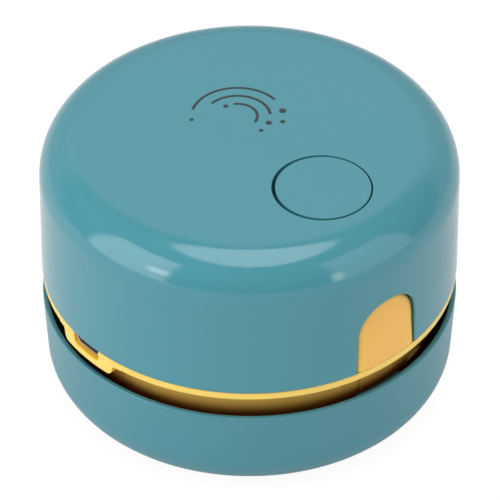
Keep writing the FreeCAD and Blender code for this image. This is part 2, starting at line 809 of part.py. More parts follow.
def blade(angle):
    """One curved blade, swept back from the eye to the rim and hanging from the disc."""
    inner_r = impeller_eye_radius
    outer_r = impeller_radius - root
    half = blade_thickness / 2

    def path(radius, side):
        share = (radius - inner_r) / (outer_r - inner_r)
        turn = math.radians(-blade_sweep * share) + side * half / radius
        return V(radius * math.cos(turn), radius * math.sin(turn), impeller_bottom_z)

    middle_r = (inner_r + outer_r) / 2
    ends = [[path(r, side) for r in (inner_r, middle_r, outer_r)] for side in (1, -1)]
    outline = [
        Part.Arc(*ends[0]).toShape(),
        Part.LineSegment(ends[0][2], ends[1][2]).toShape(),
        Part.Arc(*reversed(ends[1])).toShape(),
        Part.LineSegment(ends[1][0], ends[0][0]).toShape(),
    ]
    height = impeller_top_z - impeller_disc / 2 - impeller_bottom_z
    return about_z(Part.Face(Part.Wire(outline)).extrude(V(0, 0, height)), angle)


def make_impeller():
    """Open centrifugal wheel: disc above, blades below, dished hub on the shaft."""
    hub = turned(straight(
        (0, impeller_bottom_z), (impeller_tip_radius, impeller_bottom_z),
        (impeller_hub_radius, impeller_bottom_z + impeller_nose),
        (impeller_dish_radius, impeller_top_z - impeller_disc),
        (impeller_radius, impeller_top_z - impeller_disc), (impeller_radius, impeller_top_z),
        (0, impeller_top_z), (0, impeller_bottom_z)))
    blades = [blade(360 / blade_count * n) for n in range(blade_count)]
    return hub.fuse(blades).cut(disc(shaft_radius, 0, top_z)).removeSplitter()


# ---------------------------------------------------------------- battery and charging board
def make_battery_cell():
    x = battery_x()
    half = battery_thickness / 2
    low = plate_top_z + battery_pad
    cell = block(x - half, x + half, -battery_width / 2, battery_width / 2, low, low + battery_height)
    return soften(cell, battery_corner, is_upright)


def make_battery_pad():
    x = battery_x()
    half_x = battery_thickness / 2 - pad_margin
    half_y = battery_width / 2 - pad_margin
    return block(x - half_x, x + half_x, -half_y, half_y, plate_top_z, plate_top_z + battery_pad)


def make_charge_board():
    half = board_width / 2
    board = block(port_x - half, port_x + half, board_front_y(), board_back_y(), board_bottom_z, board_top_z)
    board = board.common(disc(plate_seat_radius - slip_gap, 0, top_z))
    for x, y in board_posts():
        board = board.cut(disc(small_screw_radius + slip_gap, 0, top_z, x, y))
    return board


def make_board_chips():
    """Charge controller, a small coil and a capacitor, on the middle of the board."""
    low = board_top_z
    middle = (board_front_y() + board_back_y()) / 2

    def square_chip(x, y, size):
        left = port_x + x - size / 2
        return block(left, left + size, y - size / 2, y + size / 2, low, low + chip_height)

    controller = square_chip(0, middle + controller_shift, controller_size)
    inductor = square_chip(-inductor_x, middle - small_part_shift, inductor_size)
    capacitor = disc(capacitor_radius, low, low + 2 * chip_height, port_x + inductor_x,
                     middle - small_part_shift)
    return Part.makeCompound([controller, inductor, capacitor])


def socket_tube(inset, y_low, y_high):
    """Rounded-trapezium tube of the charging socket, drawn in by inset."""
    half = socket_width / 2 - inset
    low = socket_bottom_z + inset
    high = socket_top_z - inset
    left, right = port_x - half, port_x + half
    corners = [V(left, y_low, high), V(right, y_low, high), V(right, y_low, low + socket_slope),
               V(right - socket_slope, y_low, low), V(left + socket_slope, y_low, low),
               V(left, y_low, low + socket_slope), V(left, y_low, high)]
    return Part.Face(Part.makePolygon(corners)).extrude(V(0, y_high - y_low, 0))


def socket_front_y():
    return -(flange_radius - socket_setback)


def make_usb_shell():
    front = socket_front_y()
    back = front + socket_depth
    return socket_tube(0, front, back).cut(socket_tube(socket_wall, front - 1, back - socket_back))


def make_usb_tongue():
    """Thin contact tongue on a block that closes the back of the shell."""
    front = socket_front_y() + tongue_setback
    back = socket_front_y() + socket_depth - socket_back
    low = socket_bottom_z + (socket_height - tongue_thickness) / 2
    left, right = port_x - tongue_width / 2, port_x + tongue_width / 2
    tongue = block(left, right, front, back, low, low + tongue_thickness)
    heel = block(left - slip_gap, right + slip_gap, back - tongue_heel, back,
                 socket_bottom_z + socket_wall, socket_top_z - socket_wall)
    return tongue.fuse(heel)


# ---------------------------------------------------------------- base
def base_form(inset, z_low, z_high):
    """Turned form of the base drawn in by inset: flat floor, large round, slightly flared wall."""
    centre_r = body_radius - base_draft - base_round
    centre_z = base_bottom_z + base_round
    radius = base_round - inset
    diagonal = radius * math.sqrt(0.5)
    rim_r = body_radius - inset
    outline = straight((0, z_low), (centre_r, z_low))
    outline.append(bend((centre_r, centre_z - radius), (centre_r + diagonal, centre_z - diagonal),
                        (centre_r + radius, centre_z)))
    outline += straight((centre_r + radius, centre_z), (rim_r, z_high), (0, z_high), (0, z_low))
    return turned(outline)


def catch_lug(angle):
    """Ledge with a sloping top, inside the rim, that a tab's hook holds under."""
    into_wall = body_radius - base_wall / 2
    outline = straight((lug_radius, lug_bottom_z), (into_wall, lug_bottom_z),
                       (into_wall, lug_top_z + lug_slope), (lug_radius, lug_top_z),
                       (lug_radius, lug_bottom_z))
    sector = turned(outline).common(block(0, body_radius, -lug_width / 2, lug_width / 2, 0, base_rim_z))
    return about_z(sector, angle)


def make_base_cup():
    outside = base_form(0, base_bottom_z, base_rim_z)
    inside = base_form(base_wall, base_bottom_z + base_wall, base_rim_z)
    inside = inside.common(disc(body_radius, floor_top_z, base_rim_z + 1))
    base = outside.cut(inside)
    cup = ring(cup_wall_radius - cup_wall, cup_wall_radius, floor_top_z - root, cup_top_z)
    riser = turned(straight(
        (0, base_bottom_z), (mouth_radius + cup_wall, base_bottom_z),
        (mouth_radius + cup_wall, floor_top_z), (riser_top_radius + cup_wall, floor_top_z + riser_height),
        (0, floor_top_z + riser_height), (0, base_bottom_z)))
    brush_seat = disc(brush_outer_radius + cup_wall, base_bottom_z, base_bottom_z + brush_depth + cup_wall)
    base = base.fuse([cup, riser, brush_seat, catch_lug(0), catch_lug(180)])
    bore = turned(straight(
        (0, base_bottom_z - 1), (mouth_radius, base_bottom_z - 1), (mouth_radius, base_bottom_z),
        (riser_top_radius, floor_top_z + riser_height), (riser_top_radius, top_z), (0, top_z),
        (0, base_bottom_z - 1)))
    groove = ring(brush_inner_radius, brush_outer_radius, base_bottom_z - 1, base_bottom_z + brush_depth)
    base = base.cut([bore, groove]).removeSplitter()
    return bevel(base, edge_round, lambda edge: edge.BoundBox.ZMin > base_rim_z - 0.05
                  and edge.BoundBox.XLength > 2 * body_radius - 0.1)


def make_brush_ring():
    return ring(brush_inner_radius + slip_gap, brush_outer_radius - slip_gap,
                base_bottom_z + bristle_root, base_bottom_z + brush_depth)


def make_brush_bristles():
    return ring(brush_inner_radius + bristle_inset, brush_outer_radius - bristle_inset,
                bristle_lift, base_bottom_z + bristle_root)


def make_glide_pads():
    places = [on_circle(pad_circle, angle) for angle in (45, 135, 225, 315)]
    return Part.makeCompound([disc(pad_radius, 0, foot_height, x, y) for x, y in places])


# ---------------------------------------------------------------- filter and seal
def make_filter_frame():
    """Ring with a flange on the cup's wall, spokes, and a knob to lift it by."""
    outer = cup_wall_radius - cup_wall - travel_gap
    low = filter_top_z - filter_depth
    frame = ring(outer - filter_bar, outer, low, filter_top_z)
    frame = frame.fuse(ring(outer - filter_bar, cup_wall_radius, cup_top_z, filter_top_z))
    for n in range(filter_spokes // 2):
        spoke = block(-outer + root, outer - root, -filter_bar / 2, filter_bar / 2, low, low + filter_bar)
        frame = frame.fuse(about_z(spoke, 360 / filter_spokes * n))
    knob = turned(straight(
        (0, low), (filter_knob_radius, low), (filter_knob_radius, low + filter_bar),
        (filter_knob_waist, low + filter_bar + root), (filter_knob_top, filter_top_z),
        (0, filter_top_z), (0, low)))
    return frame.fuse(knob).removeSplitter()


def make_filter_mesh():
    outer = cup_wall_radius - cup_wall - travel_gap - filter_bar
    low = filter_top_z - filter_depth + filter_bar
    return ring(filter_knob_radius, outer, low, low + filter_mesh_thickness)


def make_seal_ring():
    middle = cup_wall_radius - cup_wall / 2
    return ring(middle - seal_width / 2, middle + seal_width / 2, filter_top_z, bowl_bottom_z)


# ---------------------------------------------------------------- screws
def prism(radius, sides, height):
    """Upright prism on Z = 0 whose corners lie on a circle."""
    corners = [V(*on_circle(radius, 360 / sides * n), 0) for n in range(sides + 1)]
    return Part.Face(Part.makePolygon(corners)).extrude(V(0, 0, height))


def pan_screw(shank, head, head_height, length):
    """Plain screw standing on Z = 0, head down."""
    return prism(head, 12, head_height).fuse(prism(shank, 8, head_height + length))


def small_screw(length):
    return pan_screw(small_screw_radius, small_head_radius, small_head_height, length)


def make_housing_screws():
    low = bowl_bottom_z + slip_gap
    group = []
    for x, y in screw_places():
        screw = pan_screw(screw_radius, screw_head_radius, screw_head_height, screw_length)
        screw.translate(V(x, y, low))
        group.append(screw)
    return Part.makeCompound(group)


def make_motor_screws():
    group = []
    for side in (-1, 1):
        screw = small_screw(plate_thickness + motor_wall)
        screw.translate(V(0, side * motor_screw_offset, plate_bottom_z - small_head_height))
        group.append(screw)
    return Part.makeCompound(group)


def make_board_screws():
    group = []
    for x, y in board_posts():
        screw = small_screw(board_top_z - plate_bottom_z - 2 * root)
        screw.rotate(V(0, 0, 0), V(1, 0, 0), 180)
        screw.translate(V(x, y, board_top_z + small_head_height))
        group.append(screw)
    return Part.makeCompound(group)


def make_switch_screws():
    group = []
    for y in (-switch_post_y, switch_post_y):
        screw = small_screw(switch_board_thickness + cover_grip)
        screw.translate(V(button_x, y, switch_board_top_z - switch_board_thickness - small_head_height))
        group.append(screw)
    return Part.makeCompound(group)


# ---------------------------------------------------------------- all parts
def make_parts():
    return {
        "base_cup": make_base_cup(),
        "glide_pads": make_glide_pads(),
        "brush_ring": make_brush_ring(),
        "brush_bristles": make_brush_bristles(),
        "filter_frame": make_filter_frame(),
        "filter_mesh": make_filter_mesh(),
        "seal_ring": make_seal_ring(),
        "inner_shell": make_inner_shell(),
        "upper_housing": make_upper_housing(),
        "housing_screws": make_housing_screws(),
        "release_tab_right": make_release_tab(0),
        "release_tab_left": make_release_tab(180),
        "tab_spring_right": make_tab_spring(0),
        "tab_spring_left": make_tab_spring(180),
        "power_button": make_power_button(),
        "button_spring": make_button_spring(),
        "switch_board": make_switch_board(),
        "switch_body": make_switch_body(),
        "switch_plunger": make_switch_plunger(),
        "switch_screws": make_switch_screws(),
        "motor_plate": make_motor_plate(),
        "motor_can": make_motor_can(),
        "motor_magnets": make_motor_magnets(),
        "motor_cap": make_motor_cap(),
        "motor_terminals": make_motor_terminals(),
        "motor_screws": make_motor_screws(),
        "motor_shaft": make_motor_shaft(),
        "armature": make_armature(),
        "impeller": make_impeller(),
        "battery_cell": make_battery_cell(),
        "battery_pad": make_battery_pad(),
        "charge_board": make_charge_board(),
        "board_chips": make_board_chips(),
        "board_screws": make_board_screws(),
        "usb_shell": make_usb_shell(),
        "usb_tongue": make_usb_tongue(),
    }


os.makedirs("parts", exist_ok=True)
for name, shape in make_parts().items():
    shape.exportStep(os.path.join("parts", name + ".step"))
    print(name, len(shape.Solids), round(shape.Volume, 1), shape.isValid())
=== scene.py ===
"""Desktop vacuum cleaner: detailed pieces, finishes and stage round the frame of its parts."""

import json
import math

import bmesh
import bpy
from mathutils import Matrix, Vector

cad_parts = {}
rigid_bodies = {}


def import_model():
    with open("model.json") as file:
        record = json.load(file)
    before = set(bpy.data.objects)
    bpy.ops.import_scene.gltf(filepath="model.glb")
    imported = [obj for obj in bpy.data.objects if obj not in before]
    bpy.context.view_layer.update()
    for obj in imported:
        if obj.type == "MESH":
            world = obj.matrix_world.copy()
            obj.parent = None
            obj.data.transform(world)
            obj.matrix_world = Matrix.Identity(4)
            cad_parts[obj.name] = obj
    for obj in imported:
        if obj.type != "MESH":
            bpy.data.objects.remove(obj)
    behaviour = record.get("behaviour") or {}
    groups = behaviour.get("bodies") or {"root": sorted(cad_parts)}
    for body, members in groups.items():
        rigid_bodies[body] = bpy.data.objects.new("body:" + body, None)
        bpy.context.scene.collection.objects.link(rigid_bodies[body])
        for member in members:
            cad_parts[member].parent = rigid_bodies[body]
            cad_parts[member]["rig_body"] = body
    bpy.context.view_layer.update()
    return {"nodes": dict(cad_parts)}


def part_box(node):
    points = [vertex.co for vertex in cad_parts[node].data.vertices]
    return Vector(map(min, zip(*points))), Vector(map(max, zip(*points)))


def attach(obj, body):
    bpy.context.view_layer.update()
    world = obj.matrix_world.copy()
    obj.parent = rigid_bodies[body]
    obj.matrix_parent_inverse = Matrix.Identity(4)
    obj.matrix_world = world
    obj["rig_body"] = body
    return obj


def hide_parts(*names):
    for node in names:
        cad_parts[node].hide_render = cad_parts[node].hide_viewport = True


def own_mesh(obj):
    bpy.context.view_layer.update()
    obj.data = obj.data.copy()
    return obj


bl_info = {
    "name": "Desktop vacuum cleaner",
    "version": (1, 0, 0),
    "blender": (4, 5, 0),
    "location": "View3D > Sidebar > Vacuum",
    "description": "Detailed pieces, finishes and stage for a desktop vacuum cleaner",
    "category": "Object",
}

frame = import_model()

# Meshes are shaped in millimetres and written in metres.
MM = 0.001
FULL = math.tau
WELD = 1e-4  # millimetres within which two corners become one
ON_SURFACE = 3e-5  # metres within which a corner lies on a turned surface


def span(node):
    """Lowest and highest corner of a node of the frame, in millimetres."""
    low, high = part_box(node)
    return low / MM, high / MM


HOUSING = span("upper_housing")
SHELL = span("inner_shell")
BASE = span("base_cup")
BUTTON = span("power_button")
TAB = span("release_tab_right")
SOCKET = span("usb_shell")
BODY_R = HOUSING[1].x
BAND_R = SHELL[1].y
TOP_Z = HOUSING[1].z
BUTTON_X = (BUTTON[0].x + BUTTON[1].x) / 2
PORT_X = (SOCKET[0].x + SOCKET[1].x) / 2

# Sizes that the boxes of the nodes don't give, in millimetres.
SPIGOT = 2.5  # collar of the inner shell inside the housing
PLATE_DROP = 0.8  # motor plate below the band
SHELL_R, CHAMBER_R = 38.6, 37.1  # wall of the inner shell, outside and inside
SHELL_FLOOR = 1.6  # thickness
SCREW_CIRCLE = 30.4
BOSS_R = 3.0  # of the long screws
LONG_SCREW = (1.15, 2.2, 1.4)  # radius of shank and head, height of head
SMALL_SCREW = (0.9, 1.7, 1.0)
BUTTON_DEPTH = 6.3
TAB_PRESS = 2.0  # travel of a release tab
LEG_R = 37.25  # back of a tab's leg
LEG_HALF = 4.5  # half its width
HOOK = 2.4  # height of its hook
CLEARANCE = 0.3  # between parts that move past each other
QUARTERS = (45, 135, 225, 315)
SIDES = {"right": 0, "left": 180}  # of the release tabs, in degrees about Z

JOINT_Z = SHELL[1].z - SPIGOT  # where housing and band meet
BAND_LOW = span("motor_plate")[0].z + PLATE_DROP


# ---------------------------------------------------------------- sizes and colours to change
def length(name, default, description):
    return bpy.props.FloatProperty(
        name=name, default=default * MM, min=0.0, precision=5, unit="LENGTH", description=description)


def colour(name, default, description):
    return bpy.props.FloatVectorProperty(
        name=name, default=default, size=3, min=0.0, max=1.0, subtype="COLOR", description=description)


def power(name, default, description):
    return bpy.props.FloatProperty(name=name, default=default, min=0.0, unit="POWER", description=description)


class VacuumSizes(bpy.types.PropertyGroup):
    shoulder: length("Shoulder", 8.9, "Radius between the housing's wall and its crown")
    crown: length("Crown", 1400.0, "Radius of the nearly flat top")
    wall: length("Housing wall", 1.8, "Thickness of the upper housing")
    base_wall: length("Base wall", 1.1, "Thickness of the outer wall of the base")
    base_round: length("Base round", 7.9, "Radius at the foot of the base")
    base_draft: length("Base draft", 0.73, "How much narrower the base is above its round")
    soft_edge: length("Soft edge", 0.18, "Rounding round the power button and of its rim")
    button_radius: length("Button radius", 9.45, "Radius of the power button's cap")
    button_gap: length("Button gap", 0.55, "Gap round the power button")
    button_rest: bpy.props.FloatVectorProperty(
        name="Button rest", default=(0.13 * MM, 0.15 * MM), size=2, subtype="XYZ_LENGTH", unit="LENGTH",
        precision=5, description="How far the loose cap rests from the middle of its hole")
    window_width: length("Window width", 15.1, "Width at the band of the openings for the release tabs")
    window_height: length("Window height", 15.6, "Height of those openings above the band")
    window_flat: length("Window flat", 0.4, "Flat part at the top of those openings, between round corners")
    window_lean: bpy.props.FloatProperty(
        name="Window lean", default=math.radians(1.0), subtype="ANGLE", unit="ROTATION",
        description="How far the sides of those openings lean in")
    window_edge: length("Window edge", 0.35, "Rounding of their outer edge")
    tab_gap: length("Tab gap", 0.12, "Gap round a release tab")
    tab_recess: length("Tab recess", 0.15, "How far a tab lies behind the wall at the band")
    tab_top_recess: length("Tab top recess", 0.9, "How far a tab lies behind the wall at its top")
    tab_border: length("Tab border", 1.5, "Width of the soft border of a release tab")
    port_width: length("Port width", 7.9, "Width of the recess of the charging port")
    tuft_pitch: length("Tuft pitch", 0.8, "Distance between two bristle tufts")
    turns: bpy.props.IntProperty(
        name="Facets", default=192, min=48, max=512, description="Steps of the large turned surfaces")


class VacuumColours(bpy.types.PropertyGroup):
    teal: colour("Housing", (0.056, 0.24, 0.29), "Glossy upper housing and button")
    base: colour("Base", (0.053, 0.226, 0.276), "Satin base")
    gold: colour("Inner shell", (0.89, 0.6, 0.12), "Golden band and shell")
    slot: colour("Shade", (0.09, 0.015, 0.0), "Brown of the golden parts where little light gets in")
    # Painted bounce light: an oranger gold for the recess walls and the sides of its boss, standing in for
    # light bounced between the gold walls.
    recess: colour("Port recess", (1.0, 0.56, 0.05), "Inner walls of the charging port's recess")
    tab: colour("Release tab", (0.87, 0.47, 0.1), "Face of the release tabs")
    # Painted highlight: a yellower colour on the soft border of the tabs, for light caught by its rounding.
    tab_border_highlight: colour("Tab border", (0.86, 0.55, 0.085), "Soft border of the release tabs")
    print_ink: colour("Print", (0.02, 0.03, 0.035), "Printed pattern on the top")
    black: colour("Black parts", (0.02, 0.02, 0.022), "Black mouldings")
    rubber: colour("Rubber", (0.06, 0.06, 0.065), "Glide pads and seal")
    pale: colour("Pale parts", (0.72, 0.73, 0.72), "Filter frame and fan")


class VacuumStage(bpy.types.PropertyGroup):
    focal: bpy.props.FloatProperty(
        name="Focal length", default=377.1, min=20.0, description="Focal length of the camera in millimetres")
    eye: bpy.props.FloatVectorProperty(
        name="Camera place", default=(0.6148, -0.5326, 0.7087), size=3, subtype="TRANSLATION",
        unit="LENGTH", description="Where the camera stands")
    aim: bpy.props.FloatVectorProperty(
        name="Camera aim", default=(0.0, 0.0, 0.03025), size=3, subtype="TRANSLATION",
        unit="LENGTH", description="Point that the camera looks at")
    sky: bpy.props.FloatProperty(
        name="Sky", default=0.475, min=0.0, description="Strength of the even light from all round")
    overhead: power("Overhead lamp", 2.68, "Power of the soft lamp above")
    left: power("Left lamp", 4.25, "Power of the soft lamp at the left")
    right: power("Right lamp", 1.9, "Power of the soft lamp at the right")


def sizes():
    return bpy.context.scene.vacuum_sizes


def colours():
    return bpy.context.scene.vacuum_colours


def mm(value):
    return value / MM


def crown_z(flat):
    """Height of the nearly flat top at a distance from the axis."""
    crown = mm(sizes().crown)
    return TOP_Z - crown + math.sqrt(crown ** 2 - flat ** 2)


# ---------------------------------------------------------------- shaping
def round_corner(bm, vert, radius, least, step):
    """Round a corner of a flat outline with at least so many segments, each of at most step degrees."""
    ends = [edge.other_vert(vert).co - vert.co for edge in vert.link_edges]
    turn = math.pi - ends[0].angle(ends[1])
    bmesh.ops.bevel(bm, geom=[vert], offset=radius * math.tan(turn / 2),
                    segments=max(least, math.ceil(turn / math.radians(step))), profile=0.5,
                    affect="VERTICES", material=-1, clamp_overlap=True)


def soften(bm, edges, width, segments=3):
    """Round edges of a shape off."""
    bmesh.ops.bevel(bm, geom=edges, offset=width, segments=segments, profile=0.5, affect="EDGES", material=-1,
                    clamp_overlap=True)


def outline(start, *moves):
    """Closed chain of edges in the XZ plane. A move is (r, z), (r, z, rounding of that corner) or
    ("arc", centre r, centre z, degrees). The chain starts a new mesh, in millimetres."""
    bm = bmesh.new()
    verts = [bm.verts.new((start[0], 0, start[1]))]
    rounds = [(verts[0], start[2])] if len(start) == 3 else []
    for move in moves:
        if move[0] == "arc":
            turn = math.radians(move[3])
            steps = max(2, math.ceil(abs(turn) / math.radians(7.5)))
            made = bmesh.ops.spin(bm, geom=[verts[-1]], cent=(move[1], 0, move[2]), axis=(0, -1, 0),
                                  angle=turn, steps=steps)
            verts.append(next(g for g in made["geom_last"] if isinstance(g, bmesh.types.BMVert)))
            continue
        new = bmesh.ops.extrude_vert_indiv(bm, verts=[verts[-1]])["verts"][0]
        new.co = (move[0], 0, move[1])
        verts.append(new)
        if len(move) == 3:
            rounds.append((new, move[2]))
    bm.edges.new((verts[-1], verts[0]))
    for vert, radius in rounds:
        round_corner(bm, vert, radius, 2, 12 if radius < 1 else 7.5)
    return bm


def turned(start, *moves, steps=None, at=(0, 0)):
    """Solid turned about an upright axis from a closed outline of (r, z) corners."""
    bm = outline(start, *moves)
    steps = steps or sizes().turns
    bmesh.ops.spin(bm, geom=bm.verts[:] + bm.edges[:], cent=(0, 0, 0), axis=(0, 0, 1), angle=FULL,
                   steps=steps, use_merge=True)
    bmesh.ops.remove_doubles(bm, verts=bm.verts, dist=WELD)
    bmesh.ops.delete(bm, geom=[e for e in bm.edges if not e.link_faces], context="EDGES")
    bmesh.ops.recalc_face_normals(bm, faces=bm.faces)
    bmesh.ops.translate(bm, vec=(*at, 0), verts=bm.verts)
    return bm


def plate(corners, depth, rounds=(), axis="Z"):
    """Flat outline of (x, y) corners, some of them rounded, pushed out by depth along an axis."""
    bm = bmesh.new()
    verts = [bm.verts.new((x, y, 0)) for x, y in corners]
    bm.faces.new(verts)
    for index, radius in rounds:
        round_corner(bm, verts[index], radius, 3, 10)
    made = bmesh.ops.extrude_face_region(bm, geom=bm.faces[:])["geom"]
    bmesh.ops.translate(bm, vec=(0, 0, depth), verts=[g for g in made if isinstance(g, bmesh.types.BMVert)])
    if axis == "Y":
        bmesh.ops.rotate(bm, matrix=Matrix.Rotation(math.pi / 2, 3, "X"), verts=bm.verts)
    bmesh.ops.recalc_face_normals(bm, faces=bm.faces)
    return bm


def bar(low, high):
    """Block between two corners."""
    bm = bmesh.new()
    bmesh.ops.create_cube(bm, size=1)
    low, high = Vector(low), Vector(high)
    bmesh.ops.scale(bm, vec=high - low, verts=bm.verts)
    bmesh.ops.translate(bm, vec=(low + high) / 2, verts=bm.verts)
    return bm


def rod(radius, low, high, x=0.0, y=0.0, sides=32, top=None):
    """Upright round rod, or a cone where top is another radius."""
    bm = bmesh.new()
    bmesh.ops.create_cone(bm, cap_ends=True, segments=sides, radius1=radius,
                          radius2=radius if top is None else top, depth=high - low)
    bmesh.ops.translate(bm, vec=(x, y, (low + high) / 2), verts=bm.verts)
    return bm


def turn_by(bm, degrees, axis="Z"):
    bmesh.ops.rotate(bm, matrix=Matrix.Rotation(math.radians(degrees), 3, axis), verts=bm.verts)
    return bm


def moved(bm, x=0.0, y=0.0, z=0.0):
    bmesh.ops.translate(bm, vec=(x, y, z), verts=bm.verts)
    return bm


def joined(parts):
    """Meshes put side by side in one, with no cutting."""
    whole = bmesh.new()
    for part in parts:
        mesh = bpy.data.meshes.new("part")
        part.to_mesh(mesh)
        part.free()
        whole.from_mesh(mesh)
        bpy.data.meshes.remove(mesh)
    return whole


def around(make, angles):
    """One copy of a shape at each angle about Z, side by side in one mesh."""
    return joined([turn_by(make(), angle) for angle in angles])


def worked(bm, *steps):
    """The shape after boolean steps, each ("cut", "add" or "keep", other shape)."""
    kinds = {"cut": "DIFFERENCE", "add": "UNION", "keep": "INTERSECT"}
    scratch = []

    def loose(shape):
        mesh = bpy.data.meshes.new("scratch")
        shape.to_mesh(mesh)
        shape.free()
        thing = bpy.data.objects.new("scratch", mesh)
        bpy.context.scene.collection.objects.link(thing)
        scratch.append(thing)
        return thing

    subject = loose(bm)
    for kind, other in steps:
        modifier = subject.modifiers.new(kind, "BOOLEAN")
        modifier.operation = kinds[kind]
        modifier.solver = "MANIFOLD"
        modifier.object = loose(other)
    graph = bpy.context.evaluated_depsgraph_get()
    mesh = bpy.data.meshes.new_from_object(subject.evaluated_get(graph))
    done = bmesh.new()
    done.from_mesh(mesh)
    bpy.data.meshes.remove(mesh)
    for thing in scratch:
        data = thing.data
        bpy.data.objects.remove(thing)
        bpy.data.meshes.remove(data)
    if not done.faces:
        raise RuntimeError("a boolean step left nothing")
    return done


class Doorway:
    """Outline of a tab window: flat sill, sides that lean in, and a top with round corners."""

    def __init__(self):
        size = sizes()
        self.turn = size.window_lean
        self.top = JOINT_Z + mm(size.window_height)
        self.wide = mm(size.window_width) / 2
        self.high_y = self.wide_at(self.top)
        self.corner = self.high_y - mm(size.window_flat) / 2
        self.centre_y = self.high_y - self.corner * (1 - math.sin(self.turn)) / math.cos(self.turn)
        self.centre_z = self.top - self.corner

    def wide_at(self, z):
        return self.wide - (z - JOINT_Z) * math.tan(self.turn)

    def at_corner(self, y, z):
        out, up = abs(y) - self.centre_y, z - self.centre_z
        return out > 0 and math.atan2(up, out) > self.turn

    def outward(self, y, z, sill):
        """Direction in which the outline grows at one of its points."""
        side = math.copysign(1, y)
        if z < sill + 0.01:
            return Vector((0, side if abs(y) > self.wide_at(sill) - 2.5 else 0, 0))
        if self.at_corner(y, z):
            return Vector((0, y - side * self.centre_y, z - self.centre_z)).normalized()
        if z > self.centre_z:
            return Vector((0, 0, 1))
        return Vector((0, side * math.cos(self.turn), math.sin(self.turn)))

    def depth(self, y, z):
        """How far a point lies inside the outline."""
        if self.at_corner(y, z):
            return self.corner - math.hypot(abs(y) - self.centre_y, z - self.centre_z)
        side = (self.high_y - abs(y)) * math.cos(self.turn) + (self.top - z) * math.sin(self.turn)
        return min(side, self.top - z)

    def form(self, sill, sections, rings=0):
        """Solid that runs outwards along X. A section is (function from height to radius, growth), and the
        last one is filled with rings that shrink to its middle."""
        bm = bmesh.new()
        low_y = self.wide_at(sill)
        corners = ((-low_y, sill), (low_y, sill), (self.high_y, self.top), (-self.high_y, self.top))
        verts = [bm.verts.new((0, y, z)) for y, z in corners]
        face = bm.faces.new(verts)
        bmesh.ops.bevel(
            bm, geom=verts[2:], offset=self.corner * math.tan(math.pi / 4 - self.turn / 2), segments=16,
            profile=0.5, affect="VERTICES", material=-1, clamp_overlap=False)
        bmesh.ops.bisect_edges(bm, edges=[e for e in bm.edges if e.calc_length() > 2], cuts=9)
        face = bm.faces[:][0]
        layers = []
        before = 0
        for number, (radius, growth) in enumerate(sections):
            if number:
                made = bmesh.ops.extrude_face_region(bm, geom=[face] + face.edges[:])["geom"]
                face = next(g for g in made if isinstance(g, bmesh.types.BMFace))
            for vert in face.verts:
                vert.co += self.outward(vert.co.y, vert.co.z, sill) * (growth - before)
            before = growth
            layers.append((face.verts[:], radius))
        middle = Matrix.Translation((0, 0, -(sill + self.top) / 2))
        for number in range(rings):
            made = bmesh.ops.extrude_face_region(bm, geom=[face] + face.edges[:])["geom"]
            face = next(g for g in made if isinstance(g, bmesh.types.BMFace))
            bmesh.ops.scale(bm, vec=(1, *[(rings - number) / (rings + 1 - number)] * 2), space=middle,
                            verts=face.verts)
            layers.append((face.verts[:], sections[-1][0]))
        for ring, radius in layers:
            for vert in ring:
                vert.co.x = math.sqrt(max(radius(vert.co.z) ** 2 - vert.co.y ** 2, 0.01))
        bmesh.ops.remove_doubles(bm, verts=bm.verts, dist=WELD)
        bmesh.ops.recalc_face_normals(bm, faces=bm.faces)
        return bm


def level(radius):
    """The same radius at every height."""
    return lambda z: radius


def coil(radius, wire, rise, turns, steps=28, sides=10):
    """Helical spring standing on Z = 0, its ends closed."""
    bm = bmesh.new()
    bmesh.ops.create_circle(bm, cap_ends=False, segments=sides, radius=wire / 2)
    turn_by(bm, 90, "X")
    moved(bm, radius, 0, wire / 2)
    count = max(int(turns * steps), 2)
    bmesh.ops.spin(bm, geom=bm.verts[:] + bm.edges[:], cent=(0, 0, 0), axis=(0, 0, 1),
                   dvec=(0, 0, rise / count), angle=FULL * turns, steps=count)
    bmesh.ops.holes_fill(bm, edges=[e for e in bm.edges if e.is_boundary], sides=sides)
    bmesh.ops.recalc_face_normals(bm, faces=bm.faces)
    return bm


def on_circle(radius, degrees):
    turn = math.radians(degrees)
    return radius * math.cos(turn), radius * math.sin(turn)


def quarters(radius):
    """The four places on a circle that lie between the main directions."""
    return [on_circle(radius, angle) for angle in QUARTERS]


def true_normals(mesh, surfaces):
    """Exact shading for faces on turned surfaces: ("wall", r) and ("arc", centre r, centre z, r)."""
    def direction(point):
        flat = math.hypot(point.x, point.y)
        for kind, *values in surfaces:
            if kind == "wall" and abs(flat - values[0] * MM) < ON_SURFACE:
                return Vector((point.x, point.y, 0)).normalized()
            if kind == "arc":
                out, up = flat - values[0] * MM, point.z - values[1] * MM
                off = abs(math.hypot(out, up) - values[2] * MM)
                if out > -1e-6 and off < ON_SURFACE and flat > 1e-6:
                    return Vector((point.x / flat * out, point.y / flat * out, up)).normalized()
        return None

    normals = [corner.vector.copy() for corner in mesh.corner_normals]
    for polygon in mesh.polygons:
        for loop in polygon.loop_indices:
            exact = direction(mesh.vertices[mesh.loops[loop].vertex_index].co)
            if exact is not None and exact.dot(polygon.normal) > 0.985:
                normals[loop] = exact
    mesh.normals_split_custom_set(normals)


def finish_piece(bm, name, material, body, replaces=(), sharp=32, surfaces=()):
    """Write a shape to a new object in metres, shade it and hand it to its body."""
    bmesh.ops.remove_doubles(bm, verts=bm.verts, dist=WELD)
    bmesh.ops.scale(bm, vec=(MM, MM, MM), verts=bm.verts)
    mesh = bpy.data.meshes.new(name)
    bm.to_mesh(mesh)
    bm.free()
    materials = material if isinstance(material, (list, tuple)) else [material]
    for one in materials:
        mesh.materials.append(one)
    mesh.shade_smooth()
    mesh.set_sharp_from_angle(angle=math.radians(sharp))
    if surfaces:
        true_normals(mesh, surfaces)
    piece = bpy.data.objects.new(name, mesh)
    bpy.context.scene.collection.objects.link(piece)
    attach(piece, body)
    if replaces:
        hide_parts(*replaces)
    return piece


